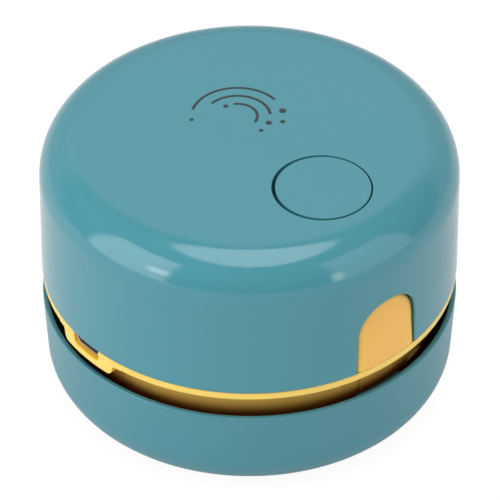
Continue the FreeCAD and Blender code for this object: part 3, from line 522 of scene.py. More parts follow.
def node_shape(node):
    """A merged copy of a frame node's mesh, in millimetres."""
    bm = bmesh.new()
    bm.from_mesh(frame["nodes"][node].data)
    bmesh.ops.scale(bm, vec=(1 / MM,) * 3, verts=bm.verts)
    bmesh.ops.remove_doubles(bm, verts=bm.verts, dist=0.002)
    bmesh.ops.dissolve_limit(bm, angle_limit=math.radians(0.5), verts=bm.verts, edges=bm.edges)
    return bm


def body_of(node):
    return frame["nodes"][node]["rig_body"]


# ---------------------------------------------------------------- finishes
def group(name, inputs, outputs):
    """Empty shader group with named sockets, and its two ends."""
    tree = bpy.data.node_groups.new(name, "ShaderNodeTree")
    for label, kind, default in inputs:
        socket = tree.interface.new_socket(label, in_out="INPUT", socket_type=kind)
        socket.default_value = default
    for label, kind in outputs:
        tree.interface.new_socket(label, in_out="OUTPUT", socket_type=kind)
    return tree, tree.nodes.new("NodeGroupInput"), tree.nodes.new("NodeGroupOutput")


FLOAT, RGBA, VECTOR = "NodeSocketFloat", "NodeSocketColor", "NodeSocketVector"


def add(tree, kind, **inputs):
    """New node whose sockets are set or linked by name."""
    node = tree.nodes.new(kind)
    for label, value in inputs.items():
        fit(tree, node, label.replace("_", " "), value)
    return node


def fit(tree, node, label, value):
    socket = node.inputs[label] if not label.isdigit() else node.inputs[int(label)]
    if isinstance(value, bpy.types.NodeSocket):
        tree.links.new(value, socket)
    else:
        socket.default_value = value


def maths(tree, operation, first, second=0.0):
    node = tree.nodes.new("ShaderNodeMath")
    node.operation = operation
    fit(tree, node, "0", first)
    fit(tree, node, "1", second)
    return node.outputs[0]


def moulded_group():
    """Fine grain, and a slow change of tone and gloss."""
    tree, ends, out = group(
        "Moulded surface",
        [("Colour", RGBA, (0.5, 0.5, 0.5, 1)), ("Roughness", FLOAT, 0.3), ("Tone", FLOAT, 0.03),
         ("Grain size", FLOAT, 2500.0), ("Grain", FLOAT, 0.05)],
        [("Colour", RGBA), ("Roughness", FLOAT), ("Normal", VECTOR)])
    place = tree.nodes.new("ShaderNodeTexCoord").outputs["Object"]
    slow = add(tree, "ShaderNodeTexNoise", Vector=place, Scale=38.0, Detail=3.0, Roughness=0.5)
    fine = add(tree, "ShaderNodeTexNoise", Vector=place, Scale=ends.outputs["Grain size"], Detail=2.0)
    drift = maths(tree, "SUBTRACT", slow.outputs["Fac"], 0.5)
    shift = maths(tree, "MULTIPLY", drift, ends.outputs["Tone"])
    tone = add(tree, "ShaderNodeHueSaturation", Value=maths(tree, "ADD", shift, 1.0),
               Color=ends.outputs["Colour"])
    tree.links.new(tone.outputs[0], out.inputs["Colour"])
    rough = maths(tree, "ADD", ends.outputs["Roughness"], maths(tree, "MULTIPLY", drift, 0.08))
    tree.links.new(rough, out.inputs["Roughness"])
    bump = add(tree, "ShaderNodeBump", Strength=ends.outputs["Grain"], Distance=0.00004,
               Height=fine.outputs["Fac"])
    tree.links.new(bump.outputs[0], out.inputs["Normal"])
    return tree


def brushed_group():
    """Metal with fine lines along one direction and slight change of tone."""
    tree, ends, out = group(
        "Drawn metal",
        [("Colour", RGBA, (0.6, 0.6, 0.6, 1)), ("Roughness", FLOAT, 0.3), ("Stretch", VECTOR, (1, 1, 40)),
         ("Lines", FLOAT, 0.15)],
        [("Colour", RGBA), ("Roughness", FLOAT), ("Normal", VECTOR)])
    place = tree.nodes.new("ShaderNodeTexCoord").outputs["Object"]
    scaled = tree.nodes.new("ShaderNodeVectorMath")
    scaled.operation = "MULTIPLY"
    tree.links.new(place, scaled.inputs[0])
    tree.links.new(ends.outputs["Stretch"], scaled.inputs[1])
    lines = add(tree, "ShaderNodeTexNoise", Vector=scaled.outputs[0], Scale=260.0, Detail=4.0)
    centred = maths(tree, "SUBTRACT", lines.outputs["Fac"], 0.5)
    value = maths(tree, "ADD", maths(tree, "MULTIPLY", centred, 0.25), 1.0)
    tone = add(tree, "ShaderNodeHueSaturation", Value=value, Color=ends.outputs["Colour"])
    tree.links.new(tone.outputs[0], out.inputs["Colour"])
    rough = maths(tree, "ADD", ends.outputs["Roughness"], maths(tree, "MULTIPLY", centred, 0.3))
    tree.links.new(rough, out.inputs["Roughness"])
    bump = add(tree, "ShaderNodeBump", Strength=ends.outputs["Lines"], Distance=0.00003,
               Height=lines.outputs["Fac"])
    tree.links.new(bump.outputs[0], out.inputs["Normal"])
    return tree


def woven_group():
    """Plain weave of fine threads: a mask that is open between them, and their height."""
    tree, ends, out = group(
        "Woven threads", [("Pitch", FLOAT, 2200.0), ("Thread", FLOAT, 0.4)],
        [("Mask", FLOAT), ("Normal", VECTOR)])
    place = tree.nodes.new("ShaderNodeTexCoord").outputs["Object"]
    split = tree.nodes.new("ShaderNodeSeparateXYZ")
    tree.links.new(place, split.inputs[0])
    across = []
    for axis in (0, 1):
        run = maths(tree, "MULTIPLY", split.outputs[axis], ends.outputs["Pitch"])
        across.append(maths(tree, "ABSOLUTE", maths(tree, "SINE", run)))
    low = maths(tree, "MINIMUM", across[0], across[1])
    mask = maths(tree, "LESS_THAN", low, ends.outputs["Thread"])
    tree.links.new(mask, out.inputs["Mask"])
    bump = add(tree, "ShaderNodeBump", Strength=0.5, Distance=0.0001, Height=low)
    bump.invert = True
    tree.links.new(bump.outputs[0], out.inputs["Normal"])
    return tree


GROUPS = {}


def shared(name):
    makers = {"moulded": moulded_group, "drawn": brushed_group, "woven": woven_group}
    if name not in GROUPS:
        GROUPS[name] = makers[name]()
    return GROUPS[name]


def shader(name, **fixed):
    """New material and its Principled shader, whose fixed values stand on its own sockets."""
    material = bpy.data.materials.new(name)
    material.use_nodes = True
    surface = material.node_tree.nodes["Principled BSDF"]
    for label, value in fixed.items():
        surface.inputs[label.replace("_", " ")].default_value = value
    return material, material.node_tree, surface


def grouped(name, kind, values, **fixed):
    """Material whose colour, gloss and normal come from a shared group with values of its own."""
    material, tree, surface = shader(name, **fixed)
    effect = tree.nodes.new("ShaderNodeGroup")
    effect.node_tree = shared(kind)
    for label, value in values.items():
        effect.inputs[label].default_value = value
    for label, target in (("Colour", "Base Color"), ("Roughness", "Roughness"), ("Normal", "Normal")):
        tree.links.new(effect.outputs[label], surface.inputs[target])
    return material


def moulded(name, tint, roughness, grain=0.04, tone=0.03, grain_size=2500.0, **fixed):
    return grouped(
        name, "moulded", {
            "Colour": (*tint, 1), "Roughness": roughness, "Tone": tone, "Grain size": grain_size,
            "Grain": grain}, **fixed)


def drawn(name, tint, roughness, stretch=(1, 1, 40), lines=0.15, **fixed):
    return grouped(
        name, "drawn", {"Colour": (*tint, 1), "Roughness": roughness, "Stretch": stretch, "Lines": lines},
        Metallic=1.0, **fixed)


def blended(tree, factor, first, second):
    """Colour that goes from the first to the second with a factor."""
    mix = tree.nodes.new("ShaderNodeMix")
    mix.data_type = "RGBA"
    for number, value in ((0, factor), (6, first), (7, second)):
        if isinstance(value, bpy.types.NodeSocket):
            tree.links.new(value, mix.inputs[number])
        else:
            mix.inputs[number].default_value = (*value, 1)
    return mix.outputs[2]


def ranged(tree, value, low, high, start=0.0, end=1.0):
    """A value mapped from low..high to start..end."""
    node = add(tree, "ShaderNodeMapRange", Value=value, From_Min=low, From_Max=high, To_Min=start, To_Max=end)
    return node.outputs[0]


def shaded(tree, colour, dark, closed=0.26, free=1.0):
    """The colour, darker in narrow places that little light gets into."""
    depth = add(tree, "ShaderNodeAmbientOcclusion", Distance=0.007)
    depth.samples = 12
    return blended(tree, ranged(tree, depth.outputs["AO"], closed, free), dark, colour)


def recoloured(material, change):
    """The material, with its colour passed through a function of its tree and that colour."""
    tree = material.node_tree
    target = tree.nodes["Principled BSDF"].inputs["Base Color"]
    tree.links.new(change(tree, target.links[0].from_socket), target)
    return material


def shell_gold():
    """Gold of the inner shell, which lets a little light through, with painted shade: brown where little
    light gets in.
    """
    gold = moulded("gold", colours().gold, 0.28, grain=0.02, tone=0.03, IOR=1.48, Subsurface_Weight=0.25,
                   Subsurface_Radius=(1.0, 0.35, 0.08), Subsurface_Scale=0.0025)
    return recoloured(gold, lambda tree, bright: shaded(tree, bright, colours().slot))


def satin_teal():
    """Satin of the base, with painted shade: dark in the slot that it leaves round the shell."""
    satin = moulded("satin_teal", colours().base, 0.3, grain=0.03, tone=0.02, IOR=1.5)
    return recoloured(satin, lambda tree, bright: shaded(tree, bright, (0.004, 0.012, 0.014), 0.1, 0.42))


def recess_bounce_gold():
    """Deeper gold of the port's recess: painted bounce light as an oranger colour, and light that really
    comes through the walls.
    """
    return moulded("gold_painted_bounce", colours().recess, 0.3, grain=0.02, tone=0.03, IOR=1.48,
                   Subsurface_Weight=0.6, Subsurface_Radius=(1.0, 0.4, 0.1), Subsurface_Scale=0.004)


def tab_peach():
    """Peach face, with a painted highlight as a yellower rim and painted shade where little light gets in."""
    tint = colours()

    def highlit_and_shaded(tree, face):
        rim = tree.nodes.new("ShaderNodeAttribute")
        rim.attribute_name = "rim"
        return shaded(tree, blended(tree, rim.outputs["Fac"], face, tint.tab_border_highlight), tint.slot)

    return recoloured(moulded("tab", tint.tab, 0.42, grain=0.05, tone=0.02, IOR=1.46), highlit_and_shaded)


def weave():
    """Woven mesh of the filter, open between its threads."""
    material, tree, surface = shader("weave", Roughness=0.5)
    surface.inputs["Base Color"].default_value = (0.62, 0.64, 0.66, 1)
    threads = tree.nodes.new("ShaderNodeGroup")
    threads.node_tree = shared("woven")
    tree.links.new(threads.outputs["Mask"], surface.inputs["Alpha"])
    tree.links.new(threads.outputs["Normal"], surface.inputs["Normal"])
    return material


MADE = {}


def finish(name):
    """The named finish, made the first time it is asked for."""
    if name in MADE:
        return MADE[name]
    tint = colours()
    makers = {
        "gloss_teal": lambda: moulded("gloss_teal", tint.teal, 0.12, grain=0.012, tone=0.02, IOR=1.5),
        "satin_teal": satin_teal,
        "gold": shell_gold,
        "gold_painted_bounce": recess_bounce_gold,
        "tab": tab_peach,
        "weave": weave,
        "ink": lambda: moulded("ink", tint.print_ink, 0.45, grain=0.1),
        "black": lambda: moulded("black", tint.black, 0.42, grain=0.1),
        "rubber": lambda: moulded("rubber", tint.rubber, 0.75, grain=0.3, tone=0.1, grain_size=900.0),
        "pale": lambda: moulded("pale", tint.pale, 0.38, grain=0.04),
        "bristle": lambda: moulded("bristle", (0.03, 0.03, 0.033), 0.5, grain=0.4, tone=0.5,
                                   grain_size=4000.0),
        "steel": lambda: drawn("steel", (0.6, 0.6, 0.61), 0.3),
        "plated": lambda: drawn("plated", (0.6, 0.54, 0.54), 0.35, lines=0.05),
        "contact": lambda: drawn("contact", (0.9, 0.62, 0.25), 0.25, lines=0.05),
        "magnet": lambda: moulded("magnet", (0.06, 0.06, 0.065), 0.6, grain=0.3, grain_size=1500.0),
        "brass": lambda: drawn("brass", (0.75, 0.6, 0.3), 0.3),
        "copper": lambda: drawn("copper", (0.7, 0.3, 0.16), 0.35, stretch=(20, 20, 1)),
        "board": lambda: moulded("board", (0.012, 0.13, 0.05), 0.35, grain=0.15, tone=0.15),
        "sleeve": lambda: moulded("sleeve", (0.28, 0.3, 0.33), 0.3, grain=0.1, tone=0.1),
        "foam": lambda: moulded("foam", (0.08, 0.08, 0.08), 0.9, grain=0.8, grain_size=1300.0),
    }
    MADE[name] = makers[name]()
    return MADE[name]


# ---------------------------------------------------------------- pieces
class VACUUM_OT_housing(bpy.types.Operator):
    """Upper housing: one moulded shell with windows for the tabs and a hole for the button"""
    bl_idname = "vacuum.housing"
    bl_label = "Upper housing"

    def execute(self, context):
        size = sizes()
        wall, shoulder, crown = mm(size.wall), mm(size.shoulder), mm(size.crown)
        inner = BODY_R - wall
        hip_r = BODY_R - shoulder
        hip_z = TOP_Z - crown + math.sqrt((crown - shoulder) ** 2 - hip_r ** 2)
        tilt = math.degrees(math.asin(hip_r / (crown - shoulder)))
        ceiling = hip_z + shoulder - wall
        shell = turned(
            (inner, JOINT_Z), (BODY_R, JOINT_Z, 0.2), (BODY_R, hip_z),
            ("arc", hip_r, hip_z, 90 - tilt), ("arc", 0, TOP_Z - crown, tilt),
            (0, ceiling), (inner, ceiling, shoulder - wall))
        shell = worked(shell, *self.button_hole(ceiling), *self.windows(inner), *self.posts(ceiling))
        finish_piece(
            shell, "housing_shell", finish("gloss_teal"), "head", ["upper_housing"],
            surfaces=[("wall", BODY_R), ("wall", inner), ("arc", hip_r, hip_z, shoulder),
                      ("arc", 0, TOP_Z - crown, crown)])
        return {"FINISHED"}

    def button_hole(self, ceiling):
        """Hole with a rounded rim, and the collar under it that guides the button."""
        size = sizes()
        edge, hole = mm(size.soft_edge), mm(size.button_radius + size.button_gap)
        cutter = turned(
            (0, ceiling - 8), (hole, ceiling - 8), (hole, TOP_Z - edge),
            ("arc", hole + edge, TOP_Z - edge, -90), (hole + edge, TOP_Z + 2), (0, TOP_Z + 2),
            steps=128, at=(BUTTON_X, 0))
        collar_wall = 1.4
        collar = rod(hole + collar_wall, ceiling - 3, ceiling + 0.5, BUTTON_X, sides=128)
        return [("add", collar), ("cut", cutter)]

    def windows(self, inner):
        """Openings for the two release tabs, rounded at their outer edge."""
        lip = mm(sizes().window_edge)
        sections = [(level(inner - 3), 0), (level(BODY_R - lip), 0)]
        for step in range(1, 6):
            turn = math.radians(18 * step)
            sections.append((level(BODY_R - lip + lip * math.sin(turn)), lip * (1 - math.cos(turn))))
        sections.append((level(BODY_R + 2), lip))
        return [("cut", turn_by(Doorway().form(JOINT_Z - 2, sections), angle)) for angle in SIDES.values()]

    def posts(self, ceiling):
        """Posts under the crown for the long screws and for those of the switch board."""
        tip, floor = span("housing_screws")[1].z, HOUSING[0].z
        steps = []
        for x, y in quarters(SCREW_CIRCLE):
            steps.append(("add", rod(BOSS_R, floor, ceiling + 0.5, x, y)))
            steps.append(("cut", rod(LONG_SCREW[0], floor - 1, tip + CLEARANCE, x, y, sides=20)))
        board_top = span("switch_board")[1].z
        low, high = span("switch_screws")
        for y in (low.y + SMALL_SCREW[1], high.y - SMALL_SCREW[1]):
            steps.append(("add", rod(2.3, board_top, ceiling + 0.5, BUTTON_X, y)))
            steps.append(("cut", rod(SMALL_SCREW[0], board_top - 1, high.z + 0.5, BUTTON_X, y, sides=20)))
        return steps


class VACUUM_OT_button(bpy.types.Operator):
    """Power button: a shallow cap that follows the crown, with its skirt and post"""
    bl_idname = "vacuum.button"
    bl_label = "Power button"

    def execute(self, context):
        size = sizes()
        radius = mm(size.button_radius)
        low = TOP_Z - BUTTON_DEPTH
        under = TOP_Z - mm(size.wall)
        flange = (BUTTON[1].x - BUTTON[0].x) / 2
        wall, lip = 1.3, 1.2
        cap = turned(
            (0, under), (radius - wall, under, 0.3), (radius - wall, low), (flange, low, 0.2),
            (flange, low + lip, 0.2), (radius, low + lip, 0.2), (radius, TOP_Z + 1), (0, TOP_Z + 1),
            steps=128, at=(BUTTON_X, 0))
        crown = [(flat, crown_z(flat)) for flat in (BODY_R, 33.0, 22.0, 11.0, 0)]
        below_crown = turned((0, low - 2), (BODY_R, low - 2), *crown, steps=256)
        post = rod(2.4, span("switch_plunger")[1].z, under + 0.3, BUTTON_X)
        shape = worked(cap, ("keep", below_crown), ("add", post))
        rim_low = crown_z(BUTTON_X) - 0.5

        def on_rim(vert):
            flat = math.hypot(vert.co.x - BUTTON_X, vert.co.y)
            return vert.co.z > rim_low and abs(flat - radius) < 0.02

        rim = [e for e in shape.edges if all(map(on_rim, e.verts)) and e.calc_face_angle(0) > 1]
        soften(shape, rim, mm(size.soft_edge), 4)
        moved(shape, *[mm(value) for value in size.button_rest])
        finish_piece(shape, "button_cap", finish("gloss_teal"), "button", ["power_button"],
                     sharp=30)
        return {"FINISHED"}


class VACUUM_OT_base(bpy.types.Operator):
    """Base: thin outer wall with a large round, the dust cup, the tapered mouth and the catches"""
    bl_idname = "vacuum.base"
    bl_label = "Base"

    def execute(self, context):
        size = sizes()
        wall, large, draft = mm(size.base_wall), mm(size.base_round), mm(size.base_draft)
        low, rim = BASE[0].z, BASE[1].z
        floor = low + 1.8
        waist = BODY_R - draft
        heart_r, heart_z = waist - large, low + large
        floor_turn = math.degrees(math.acos((heart_z - floor) / (large - wall)))
        cup_out, cup_in, cup_top = 34.65, 33.25, floor + 11.8
        groove_in, groove_out, groove_top = 13.0, 17.2, low + 2.8
        riser_top = floor + 7.3
        body = turned(
            (10.5, low, 0.3), (groove_in, low, 0.2), (groove_in, groove_top), (groove_out, groove_top),
            (groove_out, low, 0.2), (heart_r, low), ("arc", heart_r, heart_z, 90), (BODY_R, rim, 0.32),
            (BODY_R - wall, rim, 0.32), (waist - wall, heart_z), ("arc", heart_r, heart_z, -floor_turn),
            (cup_out, floor, 0.3), (cup_out, cup_top, 0.3), (cup_in, cup_top, 0.3), (cup_in, floor, 1.2),
            (groove_out + 2, floor, 0.3), (groove_out + 1.4, floor + 1.0, 0.4), (12.0, floor + 1.0, 0.3),
            (9.9, riser_top, 0.5), (8.5, riser_top, 0.5))
        lug_in, lug_out, lug_low = 39.05, BODY_R - wall / 2, TAB[0].z + HOOK + CLEARANCE
        lug_half, pad_r, pad_circle = 5.5, 3.6, 27.0
        lugs = []
        for angle in SIDES.values():
            ledge = turned((lug_in, lug_low), (lug_out, lug_low), (lug_out, lug_low + 2.5),
                           (lug_in, lug_low + 1.5, 0.2))
            sector = bar((0, -lug_half, 0), (BODY_R + 5, lug_half, 40))
            lugs.append(("add", turn_by(worked(ledge, ("keep", sector)), angle)))
        finish_piece(
            worked(body, *lugs), "base_bowl", finish("satin_teal"), "base", ["base_cup"],
            surfaces=[("arc", heart_r, heart_z, large)])
        pads = joined([turned((0, 0), (pad_r, 0, 0.35), (pad_r, low), (0, low), steps=40, at=place)
                       for place in quarters(pad_circle)])
        finish_piece(pads, "glide_discs", finish("rubber"), "base", ["glide_pads"])
        return {"FINISHED"}


class VACUUM_OT_brush(bpy.types.Operator):
    """Brush: a ring in the groove of the base that carries rows of bristle tufts"""
    bl_idname = "vacuum.brush"
    bl_label = "Brush"

    def execute(self, context):
        low, high = span("brush_ring")
        tip = span("brush_bristles")[0].z
        inside, outside = 13.15, 17.05
        ring = turned((inside, low.z, 0.2), (outside, low.z, 0.2), (outside, high.z), (inside, high.z),
                      steps=128)
        finish_piece(ring, "brush_carrier", finish("black"), "base", ["brush_ring"])
        tufts = []
        pitch = mm(sizes().tuft_pitch)
        end, root = 0.17, 0.27
        for row, radius in enumerate((14.05, 14.75, 15.45, 16.15)):
            count = int(FULL * radius / pitch)
            for n in range(count):
                lean = ((n * 7 + row * 5) % 11 - 5) * 0.018
                tuft = rod(end, tip, low.z + 0.1, sides=6, top=root)
                bmesh.ops.transform(tuft, matrix=Matrix.Shear("XY", 3, (lean, -lean * 0.7)), verts=tuft.verts)
                moved(tuft, radius)
                tufts.append(turn_by(tuft, 360 * (n + row * 0.5) / count))
        finish_piece(joined(tufts), "brush_tufts", finish("bristle"), "base", ["brush_bristles"],
                     sharp=60)
        return {"FINISHED"}


class VACUUM_OT_shell(bpy.types.Operator):
    """Inner shell: the golden band, the fan chamber with its vents and grille, and the port's boss"""
    bl_idname = "vacuum.shell"
    bl_label = "Inner shell"
    low, top = SHELL[0].z, SHELL[1].z
    floor = low + SHELL_FLOOR
    seat = BAND_LOW - PLATE_DROP  # of the motor plate
    recess_low = SOCKET[0].z - CLEARANCE
    boss_low = recess_low - 1.4

    def execute(self, context):
        boss, recess = self.port()
        behind_windows = mm(sizes().window_width) / 2 + 2.0
        shape = worked(
            self.walls(), ("add", boss), *self.pockets(), ("cut", self.vents()), ("cut", recess),
            ("cut", bar((-BODY_R, -behind_windows, JOINT_Z), (BODY_R, behind_windows, SHELL[1].z + 1))),
            *self.screw_bosses())
        shape = worked(shape, ("add", self.grille()))
        soften(shape, [e for e in shape.edges if self.edge_of_boss(e)], 0.2)
        # Painted bounce light: the recess walls and the sides of the boss take the oranger copy of the gold.
        for face in shape.faces:
            if self.in_painted_bounce(face.calc_center_median()):
                face.material_index = 1
        finish_piece(shape, "fan_shell", [finish("gold"), finish("gold_painted_bounce")], "head",
                     ["inner_shell"], surfaces=[("wall", BAND_R), ("wall", SHELL_R)])
        low, high = span("seal_ring")
        inside, outside = 33.15, 34.75
        seal = turned((inside, low.z, 0.3), (outside, low.z, 0.3), (outside, high.z, 0.3),
                      (inside, high.z, 0.3), steps=128)
        finish_piece(seal, "seal_cord", finish("rubber"), "head", ["seal_ring"])
        return {"FINISHED"}

    def walls(self):
        """Chamber, cove, band and spigot, as one turned solid."""
        cove, mouth, spigot_out, spigot_in = 1.5, 14.0, 40.05, 38.05
        return turned(
            (mouth, self.low, 0.2), (SHELL_R, self.low, 0.4), (SHELL_R, BAND_LOW - cove),
            ("arc", SHELL_R + cove, BAND_LOW - cove, -90), (BAND_R, BAND_LOW, 0.25), (BAND_R, JOINT_Z, 0.18),
            (spigot_out, JOINT_Z), (spigot_out, self.top, 0.2), (spigot_in, self.top, 0.2),
            (spigot_in, self.seat), (CHAMBER_R, self.seat), (CHAMBER_R, self.floor, 0.5),
            (mouth, self.floor, 0.2))

    def port(self):
        """Boss that hangs under the band, and the recess in it for the socket."""
        low, band, high = self.boss_low, BAND_LOW, JOINT_Z - 0.2
        depth = 12
        boss = plate(
            [(-9.9, band), (-7.85, band), (-7.25, low), (7.25, low), (7.85, band), (9.9, band), (9.9, high),
             (-9.9, high)], depth, rounds=[(1, 0.8), (2, 1.3), (3, 1.3), (4, 0.8)], axis="Y")
        moved(boss, PORT_X, -BAND_R + depth - 0.5)
        drum = turned((0, low - 1), (BAND_R, low - 1), (BAND_R, JOINT_Z - 0.05), (0, JOINT_Z - 0.05))
        half, bottom, top = mm(sizes().port_width) / 2, self.recess_low, JOINT_Z + 4
        recess = plate([(-half, top), (-half, bottom), (half, bottom), (half, top)], depth,
                       rounds=[(1, 1.2), (2, 0.9)], axis="Y")
        return worked(boss, ("keep", drum)), moved(recess, PORT_X, -BAND_R + depth - 1)

    def pockets(self):
        """Slots that the legs of the tabs move in, through the wall and through the spigot."""
        half, back = LEG_HALF + 0.06, LEG_R - TAB_PRESS - CLEARANCE
        steps = []
        for angle in SIDES.values():
            wall = bar((back, -half, self.low - 1), (BODY_R + 5, half, BAND_LOW))
            collar = bar((back, -half, BAND_LOW - 1), (40.2, half, self.top + 5))
            steps += [("cut", turn_by(wall, angle)), ("cut", turn_by(collar, angle))]
        return steps

    def vents(self):
        """Exhaust slots round the wall, clear of tabs and port."""
        width, pitch = 8, 12
        angles = []
        for begin, end in ((12.0, 168.0), (192.0, 256.0)):
            count = int((end - begin - width) / pitch) + 1
            first = (begin + end - (count - 1) * pitch) / 2
            angles += [first + n * pitch for n in range(count)]
        half = SHELL_R * math.tan(math.radians(width / 2))
        low, high = (CHAMBER_R - 2, -half, self.floor + 1), (BODY_R, half, self.seat - 1)
        return around(lambda: bar(low, high), angles)

    def screw_bosses(self):
        """Bosses for the long screws, with a hole and a seat for the head."""
        steps = []
        for x, y in quarters(SCREW_CIRCLE):
            steps.append(("add", rod(BOSS_R, self.low, self.seat, x, y)))
            steps.append(("cut", rod(1.3, self.low - 1, self.seat + 1, x, y, sides=24)))
            steps.append(("cut", rod(2.5, self.low - 1, self.low + 1.55, x, y)))
        return steps

    def grille(self):
        """Intake grille: a hub, a ring and six spokes."""
        low, high = self.low, self.floor
        hub_r, inside, outside, reach = 2.2, 6.45, 7.55, 14.5
        ring = turned((inside, low, 0.2), (outside, low, 0.2), (outside, high, 0.2), (inside, high, 0.2),
                      steps=96)
        hub = turned((0, low), (hub_r, low, 0.3), (hub_r, high, 0.3), (0, high), steps=48)
        spokes = [("add", turn_by(bar((-reach, -0.55, low + 0.05), (reach, 0.55, high - 0.05)), 60 * n))
                  for n in range(3)]
        return worked(ring, ("add", hub), *spokes)

    def edge_of_boss(self, edge):
        """True on a sharp outer edge of the port's boss."""
        def near(vert):
            x, y, z = vert.co
            beside = y < -30 and abs(x - PORT_X) < 9.8
            return beside and z < BAND_LOW + 0.3 and math.hypot(x, y) > BAND_R - 0.03

        return all(map(near, edge.verts)) and edge.calc_face_angle(0) > 0.9

    def in_painted_bounce(self, place):
        """True on the walls of the port's recess and on the sides of its boss, which take the painted bounce
        light.
        """
        across, out = abs(place.x - PORT_X), math.hypot(place.x, place.y)
        inside = across < mm(sizes().port_width) / 2 + 0.05 and place.z > self.recess_low - 0.05
        beside = 7 < across < 8.2 and place.z < BAND_LOW + 0.02 and out > SHELL_R + 0.2
        return place.y < -25 and (inside or beside) and out < BAND_R - 0.1


class VACUUM_OT_tabs(bpy.types.Operator):
    """Release tabs: arched faces with a soft border, a lip behind the wall and a hooked leg"""
    bl_idname = "vacuum.tabs"
    bl_label = "Release tabs"

    def execute(self, context):
        size = sizes()
        border, gap = mm(size.tab_border), mm(size.tab_gap)
        sill = JOINT_Z + 0.06
        for side, angle in SIDES.items():
            door = Doorway()
            face = door.form(sill, self.sections(), rings=6)
            lip = door.form(sill, [(level(37.9), 1.4), (level(39.9), 1.4)])
            shape = worked(face, ("add", lip), *self.leg())
            # Mask of the painted highlight on the soft border: 1 at the border and below the sill, 0 on the
            # face.
            rim = shape.verts.layers.float.new("rim")
            for vert in shape.verts:
                inside = door.depth(vert.co.y, vert.co.z) - gap
                vert[rim] = min(max((border + 0.5 - inside) / 1.4, 0), 1) if vert.co.z > sill - 0.1 else 1
            turn_by(shape, angle)
            finish_piece(shape, "tab_" + side, finish("tab"), "tab_" + side,
                         ["release_tab_" + side], sharp=40)
        return {"FINISHED"}

    def sections(self):
        """Layers of the face, whose border rounds off towards the wall."""
        size = sizes()
        border, gap, recess = mm(size.tab_border), mm(size.tab_gap), mm(size.tab_recess)
        slope = mm(size.tab_top_recess - size.tab_recess) / mm(size.window_height)

        def behind(depth):
            """Radius at each height of a surface behind the leaning face."""
            return lambda z: BODY_R - recess - (z - JOINT_Z) * slope - depth

        drop = 0.4
        layers = [(level(38.5), -gap), (behind(drop), -gap)]
        for step in range(1, 7):
            turn = math.radians(15 * step)
            layers.append((behind(drop * (1 - math.sin(turn))), -gap - border * (1 - math.cos(turn))))
        return layers

    def leg(self):
        """Leg behind the band, its hook, and the pin that carries the spring."""
        low, high = TAB[0].z, JOINT_Z + 3
        front, nose = 38.7, 39.85
        strip = turned((LEG_R, low), (front, low), (front, high), (LEG_R, high))
        strip = worked(strip, ("keep", bar((30, -LEG_HALF, low - 1), (45, LEG_HALF, high + 1))))
        hook = plate(
            [(LEG_R, low), (38.75, low), (nose, low + HOOK / 2), (nose, low + HOOK), (LEG_R, low + HOOK)],
            2 * LEG_HALF, rounds=[(2, 0.3), (3, 0.2)], axis="Y")
        moved(hook, 0, LEG_HALF)
        spring_low, spring_high = span("tab_spring_right")
        pin = moved(turn_by(rod(2.1, 36.7, 38.4), 90, "Y"), 0, 0, (spring_low.z + spring_high.z) / 2)
        return [("add", strip), ("add", hook), ("add", pin)]


class VACUUM_OT_port(bpy.types.Operator):
    """Charging port: a pressed metal socket round a contact tongue"""
    bl_idname = "vacuum.port"
    bl_label = "Charging port"

    def execute(self, context):
        low, high = SOCKET
        case = worked(self.tube(0, low.y, high.y), ("cut", self.tube(0.4, low.y - 1, high.y - 0.5)))
        lip = [e for e in case.edges
               if all(v.co.y < low.y + 0.02 for v in e.verts) and e.calc_face_angle(0) > 1]
        soften(case, lip, 0.14)
        finish_piece(case, "socket_case", finish("plated"), "head", ["usb_shell"])
        front, back = span("usb_tongue")
        middle, heel = (low.z + high.z) / 2, back.y - 1.2
        tongue = worked(
            bar((PORT_X - 2.2, front.y, middle - 0.3), (PORT_X + 2.2, back.y, middle + 0.3)),
            ("add", bar((front.x, heel, front.z), back)))
        finish_piece(tongue, "socket_tongue", finish("black"), "head", ["usb_tongue"])
        strips = [bar((x - 0.15, front.y + 0.15, middle + 0.28), (x + 0.15, heel, middle + 0.33))
                  for x in (PORT_X - 1.4, PORT_X - 0.7, PORT_X, PORT_X + 0.7, PORT_X + 1.4)]
        finish_piece(joined(strips), "socket_contacts", finish("contact"), "head")
        return {"FINISHED"}

    def tube(self, inset, start, stop):
        """Form of the socket, with its cut-off lower corners."""
        half, bottom, top = 3.75 - inset, SOCKET[0].z + inset, SOCKET[1].z - inset
        slope = 0.9
        corners = [(-half, top), (-half, bottom + slope), (-half + slope, bottom), (half - slope, bottom),
                   (half, bottom + slope), (half, top)]
        shape = plate(corners, stop - start, rounds=[(n, 0.3) for n in range(6)], axis="Y")
        return moved(shape, PORT_X, stop)


class VACUUM_OT_filter(bpy.types.Operator):
    """Filter: a basket with spokes and a knob, and the woven mesh it holds"""
    bl_idname = "vacuum.filter"
    bl_label = "Filter"

    def execute(self, context):
        low, high = span("filter_frame")
        outer, thick = 32.95, 1.4
        rim = turned(
            (outer - thick, low.z, 0.3), (outer, low.z, 0.3), (outer, high.z - 1.0),
            (high.x, high.z - 1.0, 0.2), (high.x, high.z, 0.2), (outer - thick, high.z, 0.3), steps=160)
        reach = outer - 0.5
        spokes = [("add", turn_by(bar((-reach, -0.7, low.z), (reach, 0.7, low.z + thick)), 60 * n))
                  for n in range(3)]
        knob = turned((0, low.z), (4.5, low.z, 0.3), (4.5, low.z + thick, 0.5), (2.7, low.z + 1.9, 0.5),
                      (3.6, high.z, 0.5), (0, high.z), steps=64)
        finish_piece(worked(rim, *spokes, ("add", knob)), "filter_basket", finish("pale"), "filter",
                     ["filter_frame"])
        mesh_low, mesh_high = span("filter_mesh")
        cloth = turned((4.4, mesh_low.z), (outer - 1.2, mesh_low.z), (outer - 1.2, mesh_high.z),
                       (4.4, mesh_high.z), steps=128)
        finish_piece(cloth, "filter_cloth", finish("weave"), "filter", ["filter_mesh"])
        return {"FINISHED"}


